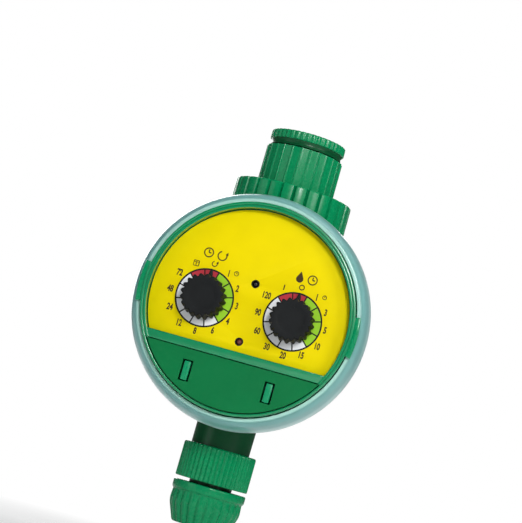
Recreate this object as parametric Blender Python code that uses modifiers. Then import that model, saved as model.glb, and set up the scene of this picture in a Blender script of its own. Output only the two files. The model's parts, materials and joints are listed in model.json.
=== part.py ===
"""Round tap-mounted irrigation timer with two dials, a motor-driven ball valve and hose fittings.

The origin is the middle of the flat back of the round case.  The water axis is the vertical line that
passes 20 mm in front of it, inlet up.  The dial face looks towards -Y and +X is to the right of someone
reading the dials.  Everything on the dial face is modelled in the "front frame", whose origin lies on
the water axis: x to the right, y up, z towards the reader.
"""

import math

import bmesh
import bpy
from mathutils import Vector

MM = 0.001

# --- Driving dimensions of the round case, in the front frame ---------------------------------------
CASE_RADIUS = 46.5 * MM
CASE_BACK = -20.0 * MM
CASE_FRONT = 28.3 * MM
CASE_LIP = 1.5 * MM
CASE_LIP_RADIUS = 48.2 * MM
CASE_WALL = 2.4 * MM
CASE_TOP_FLAT = 42.6 * MM
RING_RADIUS = 50.0 * MM
RING_FRONT = 43.7 * MM
RING_BACK = 28.6 * MM
RIM_INNER = 41.9 * MM
RIM_OUTER = 44.3 * MM
RIM_FRONT = 46.5 * MM
SEAM_RADIUS = 43.1 * MM
SEAM_HALF = 0.2 * MM
SEAM_DEPTH = 1.1 * MM
LUG_OUTER = 46.5 * MM
LUG_HALF_ANGLE = math.radians(10.7)
FLOOR_FRONT = 40.5 * MM
FLOOR_THICK = 1.8 * MM
FLANGE_BACK = 30.2 * MM
FLANGE_THICK = 1.6 * MM
FLANGE_RADIUS = 46.6 * MM
COVER_FRONT = 26.9 * MM
COVER_THICK = 1.6 * MM
COVER_RADIUS = 39.8 * MM
COVER_CHORD = -21.6 * MM
BOARD_BACK = 28.2 * MM
BOARD_FRONT = 29.8 * MM
BOARD_RADIUS = 31.0 * MM
GAP = 0.3 * MM

# --- Dial face ----------------------------------------------------------------------------------------
PLATE_FRONT = 42.0 * MM
PLATE_RADIUS = 41.5 * MM
PLATE_CHORD = -17.9 * MM
BAND_LOW = -21.8 * MM
BAND_FRONT = 46.3 * MM
DIAL_X = 18.85 * MM
DIAL_Z = 0.0 * MM
KNOB_RADIUS = 9.4 * MM
KNOB_ROOT = 8.8 * MM
KNOB_TEETH = 20
KNOB_BACK = 42.6 * MM
KNOB_FRONT = 51.6 * MM
POINTER_REACH = 12.2 * MM
SHAFT_RADIUS = 3.0 * MM
SHAFT_HOLE = 3.6 * MM
SWITCH_HALF = 6.5 * MM
SWITCH_HEIGHT = 5.5 * MM
UPPER_LED_Z = 11.0 * MM
LOWER_LED_Z = -13.7 * MM
LED_RADIUS = 1.3 * MM
LED_HOLE = 1.6 * MM

# --- Battery drawer -----------------------------------------------------------------------------------
DRAWER_CLEARANCE = 0.4 * MM
PANEL_BACK = 43.4 * MM
PANEL_FRONT = 45.9 * MM
CELL_RADIUS = 5.1 * MM
CELL_LENGTH = 43.5 * MM
CELL_Z = -28.1 * MM
CELL_DEPTHS = (36.4 * MM, 24.8 * MM)
CELL_SHIFT = 0.5 * MM
CHEEK_X = 24.0 * MM
CHEEK_THICK = 0.9 * MM
TAB_X = 17.4 * MM
TAB_WIDTH = 2.7 * MM
SLOT_WIDTH = 4.3 * MM
SLOT_TOP = -26.6 * MM
SLOT_BOTTOM = -35.4 * MM
TAB_TOP = -27.1 * MM
TAB_PIVOT_Z = -34.6 * MM

# --- Water path along +Z ------------------------------------------------------------------------------
BORE_RADIUS = 7.0 * MM
CHAMBER_RADIUS = 11.2 * MM
BODY_RADIUS = 14.5 * MM
BODY_TOP = 24.0 * MM
NECK_RADIUS = 13.1 * MM
NECK_BOTTOM = -66.5 * MM
CHAMBER_END = 12.9 * MM
BALL_RADIUS = 10.0 * MM
BALL_BORE = 6.2 * MM
STEM_RADIUS = 3.95 * MM
STEM_HOLE = 4.0 * MM
STEM_FRONT = 24.2 * MM
STEM_BOSS_FRONT = 15.6 * MM
TONGUE_THICK = 2.8 * MM
TONGUE_BACK = 7.6 * MM
TONGUE_FRONT = 10.3 * MM
TAIL_RADIUS = 10.9 * MM
TAIL_FLANGE = 15.6 * MM
TAIL_TOP = 47.7 * MM
NUT_RADIUS = 25.9 * MM
NUT_ROOT = 24.9 * MM
NUT_FLUTES = 28
NUT_BOTTOM = 43.3 * MM
NUT_TOP = 58.4 * MM
INLET_THREAD = 16.6 * MM
ADAPTER_RADIUS = 17.0 * MM
ADAPTER_TOP = 76.0 * MM
ADAPTER_BOTTOM = 51.2 * MM
REDUCER_NECK = 12.4 * MM
REDUCER_BOTTOM = 64.0 * MM
REDUCER_SEAT = 70.2 * MM
REDUCER_RADIUS = 16.6 * MM
REDUCER_STEP = 16.0 * MM
REDUCER_FLANGE = 78.9 * MM
REDUCER_TOP = 83.1 * MM
TAP_THREAD = 10.2 * MM
OUTLET_NUT_RADIUS = 15.9 * MM
OUTLET_NUT_TOP = -57.5 * MM
OUTLET_NUT_BOTTOM = -72.8 * MM
OUTLET_LIP = 1.6 * MM
TAIL_PIPE = 9.4 * MM
BARB_ROOT = 6.2 * MM
BARB_TIP = 7.0 * MM
CLAMP_TOP = -74.3 * MM
CLAMP_BOTTOM = -92.0 * MM

# --- Gear train, in the front frame -------------------------------------------------------------------
TOOTH_HALF_ROOT = 0.25
TOOTH_HALF_TIP = 0.11
OUTPUT_TEETH = 32
PINION_TEETH = 10
WHEEL_TEETH = 30
MODULE_OUTPUT = 0.75 * MM
MODULE_MIDDLE = 0.6 * MM
MODULE_MOTOR = 0.5 * MM
OUTPUT_LEVEL = (20.9 * MM, 22.7 * MM)
MIDDLE_LEVEL = (19.1 * MM, 20.6 * MM)
MOTOR_LEVEL = (17.5 * MM, 18.8 * MM)
BASE_LEVEL = (15.9 * MM, 17.2 * MM)
LID_LEVEL = (23.1 * MM, 24.1 * MM)
SECOND_GEAR_X = (OUTPUT_TEETH + PINION_TEETH) * MODULE_OUTPUT / 2
STAGE_ANGLE = math.radians(60)
MOTOR_ANGLE = math.radians(-51)
AXLE_RADIUS = 1.0 * MM
AXLE_HOLE = 1.1 * MM
MOTOR_RADIUS = 10.0 * MM
MOTOR_BACK = -10.5 * MM
MOTOR_FRONT = 15.5 * MM
MOTOR_BOSS = 3.0 * MM
MOTOR_SHAFT = 0.75 * MM

# --- Fasteners ----------------------------------------------------------------------------------------
CASE_SCREW_RADIUS = 37.6 * MM
CASE_SCREW_ANGLES = (35, 145, 215, 325)
SCREW_SEAT = 9.0 * MM
SCREW_HEAD = 2.8 * MM
SCREW_SHANK = 1.4 * MM
SCREW_TIP = 36.0 * MM
BOARD_SCREW_RADIUS = 36.5 * MM
BOARD_SCREW_ANGLES = (90, 200, 340)
BOARD_SCREW_SHANK = 1.0 * MM
BOSS_RADIUS = 4.4 * MM
POST_RADIUS = 3.2 * MM
CABLE_RADIUS = 1.1 * MM
CABLE_PLACE = (21 * MM, 20.5 * MM)

ROUND = 36
FITTING_ROUND = 28
STEM_ROUND = 24
SMALL_ROUND = 20
TINY_ROUND = 8
SMOOTH_ANGLE = math.radians(35)
FACE_FRONT = (math.radians(90), 0, 0)


# --- Scene and materials ------------------------------------------------------------------------------
def clear_scene():
    for item in list(bpy.data.objects):
        bpy.data.objects.remove(item, do_unlink=True)


def new_collection(name):
    collection = bpy.data.collections.new(name)
    bpy.context.scene.collection.children.link(collection)
    return collection


def new_material(name, colour, roughness, metallic=0.0, alpha=1.0):
    material = bpy.data.materials.new(name)
    material.use_nodes = True
    shader = material.node_tree.nodes["Principled BSDF"]
    shader.inputs["Base Color"].default_value = (*colour, 1.0)
    shader.inputs["Roughness"].default_value = roughness
    shader.inputs["Metallic"].default_value = metallic
    shader.inputs["Alpha"].default_value = alpha
    return material


clear_scene()
PARTS = new_collection("irrigation_timer")
CUTTERS = new_collection("cutters")

GREEN = new_material("green_abs", (0.0, 0.22, 0.07), 0.25)
DARK_GREEN = new_material("dark_green_abs", (0.0, 0.11, 0.045), 0.35)
CLEAR = new_material("frosted_clear", (0.55, 0.75, 0.70), 0.35, alpha=0.6)
YELLOW = new_material("yellow_print", (0.87, 0.68, 0.0), 0.45)
BLACK = new_material("matte_black", (0.012, 0.012, 0.013), 0.55)
WHITE = new_material("natural_plastic", (0.75, 0.74, 0.70), 0.4)
RUBBER = new_material("black_rubber", (0.02, 0.02, 0.02), 0.8)
STEEL = new_material("zinc_steel", (0.6, 0.6, 0.6), 0.3, metallic=1.0)
BRASS = new_material("brass", (0.7, 0.5, 0.2), 0.3, metallic=1.0)
BOARD = new_material("circuit_board", (0.02, 0.15, 0.06), 0.5)
LED_RED = new_material("led_red", (0.35, 0.03, 0.02), 0.2)
CELL_JACKET = new_material("cell_jacket", (0.10, 0.12, 0.16), 0.3, metallic=0.6)
RED_WIRE = new_material("red_wire", (0.6, 0.02, 0.02), 0.5)


# --- Building blocks ----------------------------------------------------------------------------------
def new_empty(name, location=(0, 0, 0), rotation=(0, 0, 0), parent=None):
    empty = bpy.data.objects.new(name, None)
    empty.location = location
    empty.rotation_euler = rotation
    empty.parent = parent
    PARTS.objects.link(empty)
    return empty


def finish_object(obj, material, parent, location, rotation):
    obj.location = location
    obj.rotation_euler = rotation
    obj.parent = parent
    if material is not None:
        obj.data.materials.append(material)
    PARTS.objects.link(obj)
    return obj


def smooth(obj):
    obj.data.shade_smooth()
    obj.data.set_sharp_from_angle(angle=SMOOTH_ANGLE)


def turned(name, profile, material, parent=None, location=(0, 0, 0), rotation=(0, 0, 0), steps=ROUND):
    """Spin a profile of (radius, height) points, listed down the outer side, about local Z.

    A profile that starts and ends on the axis is a solid; any other profile is closed into a ring.
    """
    mesh = bpy.data.meshes.new(name)
    vertices = [(radius, 0, height) for radius, height in profile]
    edges = [(i, i + 1) for i in range(len(profile) - 1)]
    if profile[0][0] > 0:
        edges.append((len(profile) - 1, 0))
    mesh.from_pydata(vertices, edges, [])
    obj = finish_object(bpy.data.objects.new(name, mesh), material, parent, location, rotation)
    screw = obj.modifiers.new("turn", "SCREW")
    screw.steps = steps
    screw.render_steps = steps
    screw.use_merge_vertices = True
    screw.merge_threshold = 0.01 * MM
    screw.use_smooth_shade = True
    return obj


def tube_profile(outer, inner, top, bottom):
    return [(outer, top), (outer, bottom), (inner, bottom), (inner, top)]


def plate(name, outlines, low, high, material, parent=None, location=(0, 0, 0), rotation=(0, 0, 0)):
    """Extrude flat outlines, the first solid and the rest holes, between two local heights."""
    curve = bpy.data.curves.new(name, "CURVE")
    curve.dimensions = "2D"
    curve.fill_mode = "BOTH"
    curve.extrude = (high - low) / 2
    for outline in outlines:
        spline = curve.splines.new("POLY")
        spline.points.add(len(outline) - 1)
        for point, (x, y) in zip(spline.points, outline):
            point.co = (x, y, 0, 1)
        spline.use_cyclic_u = True
    flat = bpy.data.objects.new(name + "_outline", curve)
    PARTS.objects.link(flat)
    bpy.context.view_layer.update()
    evaluated = flat.evaluated_get(bpy.context.evaluated_depsgraph_get())
    mesh = bpy.data.meshes.new_from_object(evaluated)
    bpy.data.objects.remove(flat, do_unlink=True)
    mesh.name = name
    model = bmesh.new()
    model.from_mesh(mesh)
    bmesh.ops.remove_doubles(model, verts=model.verts, dist=0.001 * MM)
    bmesh.ops.translate(model, verts=model.verts, vec=(0, 0, (high + low) / 2))
    bmesh.ops.recalc_face_normals(model, faces=model.faces)
    model.to_mesh(mesh)
    model.free()
    return finish_object(bpy.data.objects.new(name, mesh), material, parent, location, rotation)


def box(name, low, high, material, parent=None, location=(0, 0, 0), rotation=(0, 0, 0)):
    """A rectangular block between two opposite corners."""
    low = Vector(low)
    high = Vector(high)
    mesh = bpy.data.meshes.new(name)
    model = bmesh.new()
    bmesh.ops.create_cube(model, size=1)
    bmesh.ops.scale(model, verts=model.verts, vec=high - low)
    bmesh.ops.translate(model, verts=model.verts, vec=(low + high) / 2)
    model.to_mesh(mesh)
    model.free()
    return finish_object(bpy.data.objects.new(name, mesh), material, parent, location, rotation)


def rod(name, radius, low, high, material, parent=None, location=(0, 0, 0), rotation=(0, 0, 0),
        steps=SMALL_ROUND):
    """A plain cylinder along local Z between two heights."""
    mesh = bpy.data.meshes.new(name)
    model = bmesh.new()
    bmesh.ops.create_cone(model, cap_ends=True, segments=steps, radius1=radius, radius2=radius,
                          depth=high - low)
    bmesh.ops.translate(model, verts=model.verts, vec=(0, 0, (low + high) / 2))
    model.to_mesh(mesh)
    model.free()
    return finish_object(bpy.data.objects.new(name, mesh), material, parent, location, rotation)


def combine(obj, other, operation):
    """Add or remove another shape, which then serves only as a guide."""
    PARTS.objects.unlink(other)
    CUTTERS.objects.link(other)
    other.hide_render = True
    other.display_type = "WIRE"
    step = obj.modifiers.new(operation.lower() + "_" + other.name, "BOOLEAN")
    step.operation = operation
    step.object = other
    step.solver = "EXACT"


def cut(obj, *others):
    for other in others:
        combine(obj, other, "DIFFERENCE")


def join(obj, *others):
    for other in others:
        combine(obj, other, "UNION")


# --- Outlines -----------------------------------------------------------------------------------------
def circle(radius, centre=(0, 0), steps=SMALL_ROUND):
    angles = [2 * math.pi * i / steps for i in range(steps)]
    return [(centre[0] + radius * math.cos(a), centre[1] + radius * math.sin(a)) for a in angles]


def arc(radius, start, end, steps):
    angles = [start + (end - start) * i / steps for i in range(steps + 1)]
    return [(radius * math.cos(a), radius * math.sin(a)) for a in angles]


def segment_above(radius, chord, steps=FITTING_ROUND):
    """The part of a disc that lies above a horizontal chord."""
    start = math.asin(chord / radius)
    return arc(radius, start, math.pi - start, steps)


def segment_below(radius, chord, steps=SMALL_ROUND):
    """The part of a disc that lies below a horizontal chord."""
    start = math.asin(chord / radius)
    return arc(radius, math.pi - start, 2 * math.pi + start, steps)


def band_between(radius, low, high, steps=4):
    """The strip of a disc between two horizontal chords."""
    low_angle = math.asin(low / radius)
    high_angle = math.asin(high / radius)
    right = arc(radius, low_angle, high_angle, steps)
    left = [(-x, y) for x, y in reversed(right)]
    return right + left


def rectangle(low_x, high_x, low_y, high_y):
    return [(low_x, low_y), (high_x, low_y), (high_x, high_y), (low_x, high_y)]


def arc_block(inner, outer, centre_angle, half_angle, steps=6):
    start = centre_angle - half_angle
    end = centre_angle + half_angle
    return arc(outer, start, end, steps) + list(reversed(arc(inner, start, end, steps)))


def toothed(count, root, tip, half_root, half_tip, phase=0.0):
    """A wheel outline with straight-sided teeth; half widths are fractions of the tooth pitch."""
    pitch = 2 * math.pi / count
    corners = ((-half_root, root), (-half_tip, tip), (half_tip, tip), (half_root, root))
    points = []
    for tooth in range(count):
        for offset, radius in corners:
            angle = phase + (tooth + offset) * pitch
            points.append((radius * math.cos(angle), radius * math.sin(angle)))
    return points


def gear_outline(teeth, module, phase):
    radius = teeth * module / 2
    return toothed(teeth, radius - 1.05 * module, radius + 0.75 * module,
                   TOOTH_HALF_ROOT, TOOTH_HALF_TIP, phase)


def meshing_phase(phase, teeth, direction, mate_teeth):
    """Turn of a gear lying in the given direction so that its gaps meet the first gear's teeth."""
    offset = (phase - direction) * teeth / (2 * math.pi)
    return direction + math.pi - (offset + 0.5) * 2 * math.pi / mate_teeth


# --- Round case ---------------------------------------------------------------------------------------
def polar(radius, degrees):
    angle = math.radians(degrees)
    return (radius * math.cos(angle), radius * math.sin(angle))


def make_rear_case(front):
    """A bowl with screw bosses, flattened on top where the swivel nut sits."""
    inner = CASE_RADIUS - CASE_WALL
    lip_back = CASE_FRONT - CASE_LIP
    case = turned("rear_case", [
        (0, CASE_BACK + CASE_WALL),
        (32 * MM, CASE_BACK + CASE_WALL),
        (38.5 * MM, -14 * MM),
        (42.6 * MM, -6 * MM),
        (inner, 0),
        (inner, CASE_FRONT),
        (CASE_LIP_RADIUS, CASE_FRONT),
        (CASE_LIP_RADIUS, lip_back),
        (CASE_RADIUS, lip_back),
        (CASE_RADIUS, 0),
        (45 * MM, -7 * MM),
        (40 * MM, -16 * MM),
        (33 * MM, CASE_BACK),
        (0, CASE_BACK),
    ], GREEN, front)
    roof_low = (-19 * MM, CASE_TOP_FLAT - CASE_WALL, -8 * MM)
    roof_high = (19 * MM, CASE_TOP_FLAT + 1 * MM, lip_back + GAP)
    join(case, box("roof", roof_low, roof_high, None, front))
    trim_low = (-30 * MM, CASE_TOP_FLAT, -30 * MM)
    trim_high = (30 * MM, 60 * MM, lip_back)
    cut(case, box("roof_trim", trim_low, trim_high, None, front))
    boss_low = -14 * MM
    for degrees in CASE_SCREW_ANGLES:
        place = (*polar(CASE_SCREW_RADIUS, degrees), 0)
        tag = str(degrees)
        join(case, rod("boss_" + tag, BOSS_RADIUS, boss_low, CASE_FRONT - GAP, None, front, place,
                       steps=TINY_ROUND))
        cut(case, rod("recess_" + tag, SCREW_HEAD + GAP, 2 * CASE_BACK, SCREW_SEAT, None, front, place,
                      steps=TINY_ROUND))
        cut(case, rod("clearance_" + tag, SCREW_SHANK + GAP, 0, 2 * CASE_FRONT, None, front, place,
                      steps=TINY_ROUND))
    cut(case, rod("inlet_opening", TAIL_RADIUS + GAP, CASE_TOP_FLAT / 2, 2 * CASE_TOP_FLAT, None))
    cut(case, rod("outlet_opening", NECK_RADIUS + GAP, NECK_BOTTOM, NECK_BOTTOM / 2, None))
    return case


def make_clear_ring(front):
    """The frosted collar that rounds the dial face off down to the rear case."""
    turned("clear_ring", [
        (RIM_OUTER + 0.4 * MM, RING_FRONT),
        (46.2 * MM, RING_FRONT),
        (47.9 * MM, RING_FRONT - 2.2 * MM),
        (49.2 * MM, RING_FRONT - 7 * MM),
        (RING_RADIUS, RING_FRONT - 12.5 * MM),
        (RING_RADIUS, RING_BACK + 1.2 * MM),
        (49.3 * MM, RING_BACK),
        (47.3 * MM, RING_BACK),
        (47.5 * MM, RING_FRONT - 12.5 * MM),
        (46.8 * MM, RING_FRONT - 7 * MM),
        (45.6 * MM, RING_FRONT - 2.8 * MM),
        (RIM_OUTER + 0.4 * MM, RING_FRONT - 2 * MM),
    ], CLEAR, front)


def make_case_seal(front):
    profile = tube_profile(46.4 * MM, 44.6 * MM, FLANGE_BACK - GAP, CASE_FRONT + GAP)
    turned("case_seal", profile, RUBBER, front, steps=FITTING_ROUND)


def make_screw(name, parent, place, seat, tip, head, shank):
    """A pan-head screw whose head lies behind its seat and whose shank points to the front."""
    rise = 0.75 * head
    turned(name, [
        (0, tip),
        (shank, tip - shank),
        (shank, seat),
        (head, seat),
        (0.8 * head, seat - rise),
        (0, seat - rise),
    ], STEEL, parent, (*place, 0), steps=TINY_ROUND)


def make_screws(front):
    for number, degrees in enumerate(CASE_SCREW_ANGLES, start=1):
        make_screw("case_screw_%d" % number, front, polar(CASE_SCREW_RADIUS, degrees),
                   SCREW_SEAT - GAP, SCREW_TIP, SCREW_HEAD, SCREW_SHANK)
    for number, degrees in enumerate(BOARD_SCREW_ANGLES, start=1):
        make_screw("board_screw_%d" % number, front, polar(BOARD_SCREW_RADIUS, degrees),
                   COVER_FRONT - COVER_THICK - GAP, FLOOR_FRONT - 5 * MM, 2 * MM, BOARD_SCREW_SHANK)


# --- Control housing behind the dial face ---------------------------------------------------------------
def add_post(housing, front, name, place, back, hole):
    """A screw post standing behind the floor, with a blind pilot hole."""
    post_top = FLOOR_FRONT - FLOOR_THICK / 2
    hole_top = FLOOR_FRONT - FLOOR_THICK - 1 * MM
    join(housing, rod(name, POST_RADIUS, back, post_top, None, front, (*place, 0), steps=TINY_ROUND))
    cut(housing, rod(name + "_hole", hole, back - 1 * MM, hole_top, None, front, (*place, 0),
                     steps=TINY_ROUND))


def face_holes():
    """Holes in the floor and the dial plate for the two shafts and the two lamps."""
    holes = [circle(SHAFT_HOLE, (side * DIAL_X, DIAL_Z)) for side in (-1, 1)]
    holes += [circle(LED_HOLE, (0, height), TINY_ROUND) for height in (UPPER_LED_Z, LOWER_LED_Z)]
    return holes


def make_control_housing(front):
    """Seamed rim, floor, raised band, bay wall over the drawer, side lugs and screw posts in one moulding.

    Below the band the inside of the rim is cut back to the seam, to let the drawer's panel in.
    """
    edge = 0.5 * MM
    housing = turned("control_housing", [
        (RIM_OUTER - edge, RIM_FRONT),
        (RIM_OUTER, RIM_FRONT - edge),
        (RIM_OUTER, FLANGE_BACK + FLANGE_THICK),
        (FLANGE_RADIUS, FLANGE_BACK + FLANGE_THICK),
        (FLANGE_RADIUS, FLANGE_BACK),
        (RIM_INNER, FLANGE_BACK),
        (RIM_INNER, RIM_FRONT - edge),
        (RIM_INNER + edge, RIM_FRONT),
        (SEAM_RADIUS - SEAM_HALF, RIM_FRONT),
        (SEAM_RADIUS, RIM_FRONT - SEAM_DEPTH),
        (SEAM_RADIUS + SEAM_HALF, RIM_FRONT),
    ], GREEN, front)
    in_wall = (RIM_INNER + RIM_OUTER) / 2
    in_collar = (SEAM_RADIUS + SEAM_HALF + RIM_OUTER) / 2
    floor_back = FLOOR_FRONT - FLOOR_THICK
    floor = plate("floor", [segment_above(in_wall, BAND_LOW)] + face_holes(), floor_back, FLOOR_FRONT,
                  None, front)
    band = plate("band", [band_between(RIM_INNER + GAP, BAND_LOW, PLATE_CHORD - GAP)],
                 FLOOR_FRONT - 0.6 * MM, BAND_FRONT, None, front)
    half_wall = 36.9 * MM
    bay_wall = box("bay_wall", (-half_wall, BAND_LOW, CASE_FRONT + 2 * GAP),
                   (half_wall, BAND_LOW + 1.5 * MM, floor_back + 0.5 * MM), None, front)
    join(housing, floor, band, bay_wall)
    for side, angle in (("right", 0), ("left", math.pi)):
        outline = arc_block(in_collar, LUG_OUTER, angle, LUG_HALF_ANGLE)
        join(housing, plate("lug_" + side, [outline], RING_FRONT + GAP, RIM_FRONT - 0.8 * MM, None,
                            front))
    seat = segment_below(SEAM_RADIUS, BAND_LOW - 0.1 * MM)
    cut(housing, plate("panel_seat", [seat], PANEL_BACK - GAP, 2 * RIM_FRONT, None, front))
    for degrees in CASE_SCREW_ANGLES:
        add_post(housing, front, "case_post_%d" % degrees, polar(CASE_SCREW_RADIUS, degrees),
                 CASE_FRONT + GAP, SCREW_SHANK + GAP)
    for degrees in BOARD_SCREW_ANGLES:
        add_post(housing, front, "board_post_%d" % degrees, polar(BOARD_SCREW_RADIUS, degrees),
                 COVER_FRONT + GAP, BOARD_SCREW_SHANK + GAP)


def make_dial_plate(front):
    outline = segment_above(PLATE_RADIUS, PLATE_CHORD)
    plate("dial_plate", [outline] + face_holes(), FLOOR_FRONT + GAP, PLATE_FRONT, YELLOW, front)


def make_control_cover(front):
    holes = [circle(BOARD_SCREW_SHANK + GAP, polar(BOARD_SCREW_RADIUS, degrees), TINY_ROUND)
             for degrees in BOARD_SCREW_ANGLES]
    holes.append(circle(CABLE_RADIUS + 2 * GAP, CABLE_PLACE, TINY_ROUND))
    outline = segment_above(COVER_RADIUS, COVER_CHORD)
    back = COVER_FRONT - COVER_THICK
    cover = plate("control_cover", [outline] + holes, back, COVER_FRONT, DARK_GREEN, front)
    for degrees in CASE_SCREW_ANGLES:
        place = (*polar(CASE_SCREW_RADIUS, degrees), 0)
        cut(cover, rod("boss_notch_%d" % degrees, BOSS_RADIUS + 2 * GAP, back - 1 * MM, COVER_FRONT + 1 * MM,
                       None, front, place, steps=TINY_ROUND))


def make_circuit_board(front):
    outline = segment_above(BOARD_RADIUS, BAND_LOW + 2 * MM)
    plate("circuit_board", [outline], BOARD_BACK, BOARD_FRONT, BOARD, front)


def make_lamp(front, name, height, material):
    dome = 0.8 * MM
    tip = PLATE_FRONT - 0.1 * MM
    turned(name, [
        (0, tip),
        (0.7 * LED_RADIUS, tip - 0.25 * dome),
        (LED_RADIUS, tip - dome),
        (LED_RADIUS, BOARD_FRONT + GAP),
        (0, BOARD_FRONT + GAP),
    ], material, front, (0, height, 0), steps=TINY_ROUND)


# --- Dials ----------------------------------------------------------------------------------------------
def make_dial(front, name, side):
    """Rotary switch on the board, its shaft, and the scalloped knob on the shaft."""
    axis = new_empty(name + "_axis", (side * DIAL_X, DIAL_Z, 0), parent=front)
    half = SWITCH_HALF
    bore_back = BOARD_FRONT + 2 * MM
    switch = box(name + "_switch", (-half, -half, BOARD_FRONT + GAP),
                 (half, half, BOARD_FRONT + SWITCH_HEIGHT), BLACK, axis)
    cut(switch, rod(name + "_switch_bore", SHAFT_RADIUS + GAP, bore_back, KNOB_FRONT, None, axis))
    rod(name + "_shaft", SHAFT_RADIUS, bore_back + GAP, KNOB_FRONT - 2.5 * MM, STEEL, axis)
    outline = toothed(KNOB_TEETH, KNOB_ROOT, KNOB_RADIUS, 0.34, 0.20, math.pi / 2)
    knob = plate(name + "_knob", [outline], KNOB_BACK, KNOB_FRONT, BLACK, axis)
    root = 0.8 * KNOB_ROOT
    pointer = [(1.4 * MM, root), (0.4 * MM, POINTER_REACH), (-0.4 * MM, POINTER_REACH), (-1.4 * MM, root)]
    join(knob, plate(name + "_pointer", [pointer], KNOB_BACK, KNOB_BACK + 1.2 * MM, None, axis))
    cut(knob, rod(name + "_knob_bore", SHAFT_RADIUS + GAP, BOARD_FRONT, KNOB_FRONT - 2 * MM, None, axis))


# --- Battery drawer -------------------------------------------------------------------------------------
def span(first, second):
    return (min(first, second), max(first, second))


def make_drawer(front):
    """Front panel with two slots, a shelf, two end cheeks and a web between the cells."""
    slide = new_empty("drawer_slide", parent=front)
    slots = [rectangle(side * TAB_X - SLOT_WIDTH / 2, side * TAB_X + SLOT_WIDTH / 2, SLOT_BOTTOM, SLOT_TOP)
             for side in (-1, 1)]
    panel = segment_below(SEAM_RADIUS - DRAWER_CLEARANCE, BAND_LOW - DRAWER_CLEARANCE)
    drawer = plate("battery_drawer", [panel] + slots, PANEL_BACK, PANEL_FRONT, GREEN, slide)
    back = CELL_DEPTHS[1] - CELL_RADIUS - 0.6 * MM
    in_panel = (PANEL_BACK + PANEL_FRONT) / 2
    shelf_low = CELL_Z + CELL_RADIUS + 0.2 * MM
    shelf_high = BAND_LOW - DRAWER_CLEARANCE
    in_shelf = (shelf_low + shelf_high) / 2
    cheek_low = CELL_Z - 3.2 * MM
    outer = CHEEK_X + CHEEK_THICK
    join(drawer, box("shelf", (-outer, shelf_low, back), (outer, shelf_high, in_panel), None, slide))
    for side in (-1, 1):
        low_x, high_x = span(side * CHEEK_X, side * outer)
        join(drawer, box("cheek_%d" % (side + 2), (low_x, cheek_low, back), (high_x, in_shelf, in_panel),
                         None, slide))
    middle = sum(CELL_DEPTHS) / 2
    web_half = 0.35 * MM
    web_reach = CHEEK_X - 0.8 * MM
    join(drawer, box("web", (-web_reach, cheek_low, middle - web_half),
                     (web_reach, in_shelf, middle + web_half), None, slide))
    make_release_tab(slide, "left_release_tab", -1)
    make_release_tab(slide, "right_release_tab", 1)
    make_cell(slide, "front_cell", CELL_DEPTHS[0], 1)
    make_cell(slide, "rear_cell", CELL_DEPTHS[1], -1)
    make_contacts(slide)


def make_release_tab(slide, name, side):
    """A finger tab whose lower end bends in the panel, with a catch behind its upper end."""
    pivot = new_empty(name + "_pivot", (side * TAB_X, TAB_PIVOT_Z, PANEL_BACK + 0.4 * MM), parent=slide)
    half = TAB_WIDTH / 2
    top = TAB_TOP - TAB_PIVOT_Z
    tab = box(name, (-half, -0.4 * MM, -0.2 * MM), (half, top, 2.3 * MM), GREEN, pivot)
    hook_half = 0.8 * half
    join(tab, box(name + "_catch", (-hook_half, top - 2.4 * MM, -1 * MM),
                  (hook_half, top - 0.5 * MM, 0.5 * MM), None, pivot))


def make_cell(slide, name, depth, turn):
    """A small dry cell with its positive button towards +X for turn 1 and -X for turn -1."""
    half = CELL_LENGTH / 2
    button = 1.9 * MM
    edge = 0.4 * MM
    turned(name, [
        (0, half + 1 * MM),
        (button, half + 1 * MM),
        (button, half),
        (CELL_RADIUS - edge, half),
        (CELL_RADIUS, half - edge),
        (CELL_RADIUS, edge - half),
        (CELL_RADIUS - edge, -half),
        (0, -half),
    ], CELL_JACKET, slide, (turn * CELL_SHIFT, CELL_Z, depth), (0, turn * math.pi / 2, 0), SMALL_ROUND)


def make_contacts(slide):
    """A bridge plate on the left, two separate plates on the right, a spring at each negative end."""
    outer = CHEEK_X - 0.1 * MM
    inner = outer - 0.3 * MM
    half = 3 * MM
    low = CELL_Z - 2.5 * MM
    high = CELL_Z + 2.5 * MM
    front_depth, rear_depth = CELL_DEPTHS
    box("left_contact", (-outer, low, rear_depth - half), (-inner, high, front_depth + half), STEEL, slide)
    box("right_front_contact", (inner, low, front_depth - half), (outer, high, front_depth + half), STEEL,
        slide)
    box("right_rear_contact", (inner, low, rear_depth - half), (outer, high, rear_depth + half), STEEL,
        slide)
    make_spring(slide, "front_cell_spring", (-inner, CELL_Z, front_depth), math.pi / 2)
    make_spring(slide, "rear_cell_spring", (inner, CELL_Z, rear_depth), -math.pi / 2)


def make_spring(slide, name, place, turn):
    """A cone-shaped contact spring of two turns, standing on its contact plate."""
    wire = 0.28 * MM
    turns = 2
    steps = 10
    count = turns * steps
    length = 1.7 * MM
    curve = bpy.data.curves.new(name, "CURVE")
    curve.dimensions = "3D"
    curve.bevel_depth = wire
    curve.bevel_resolution = 1
    curve.use_fill_caps = True
    spline = curve.splines.new("POLY")
    spline.points.add(count)
    for i, point in enumerate(spline.points):
        angle = 2 * math.pi * i / steps
        radius = 3.4 * MM - 1.7 * MM * i / count
        height = wire + 0.1 * MM + (length - 2 * wire) * i / count
        point.co = (radius * math.cos(angle), radius * math.sin(angle), height, 1)
    finish_object(bpy.data.objects.new(name, curve), STEEL, slide, place, (0, turn, 0))


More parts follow.
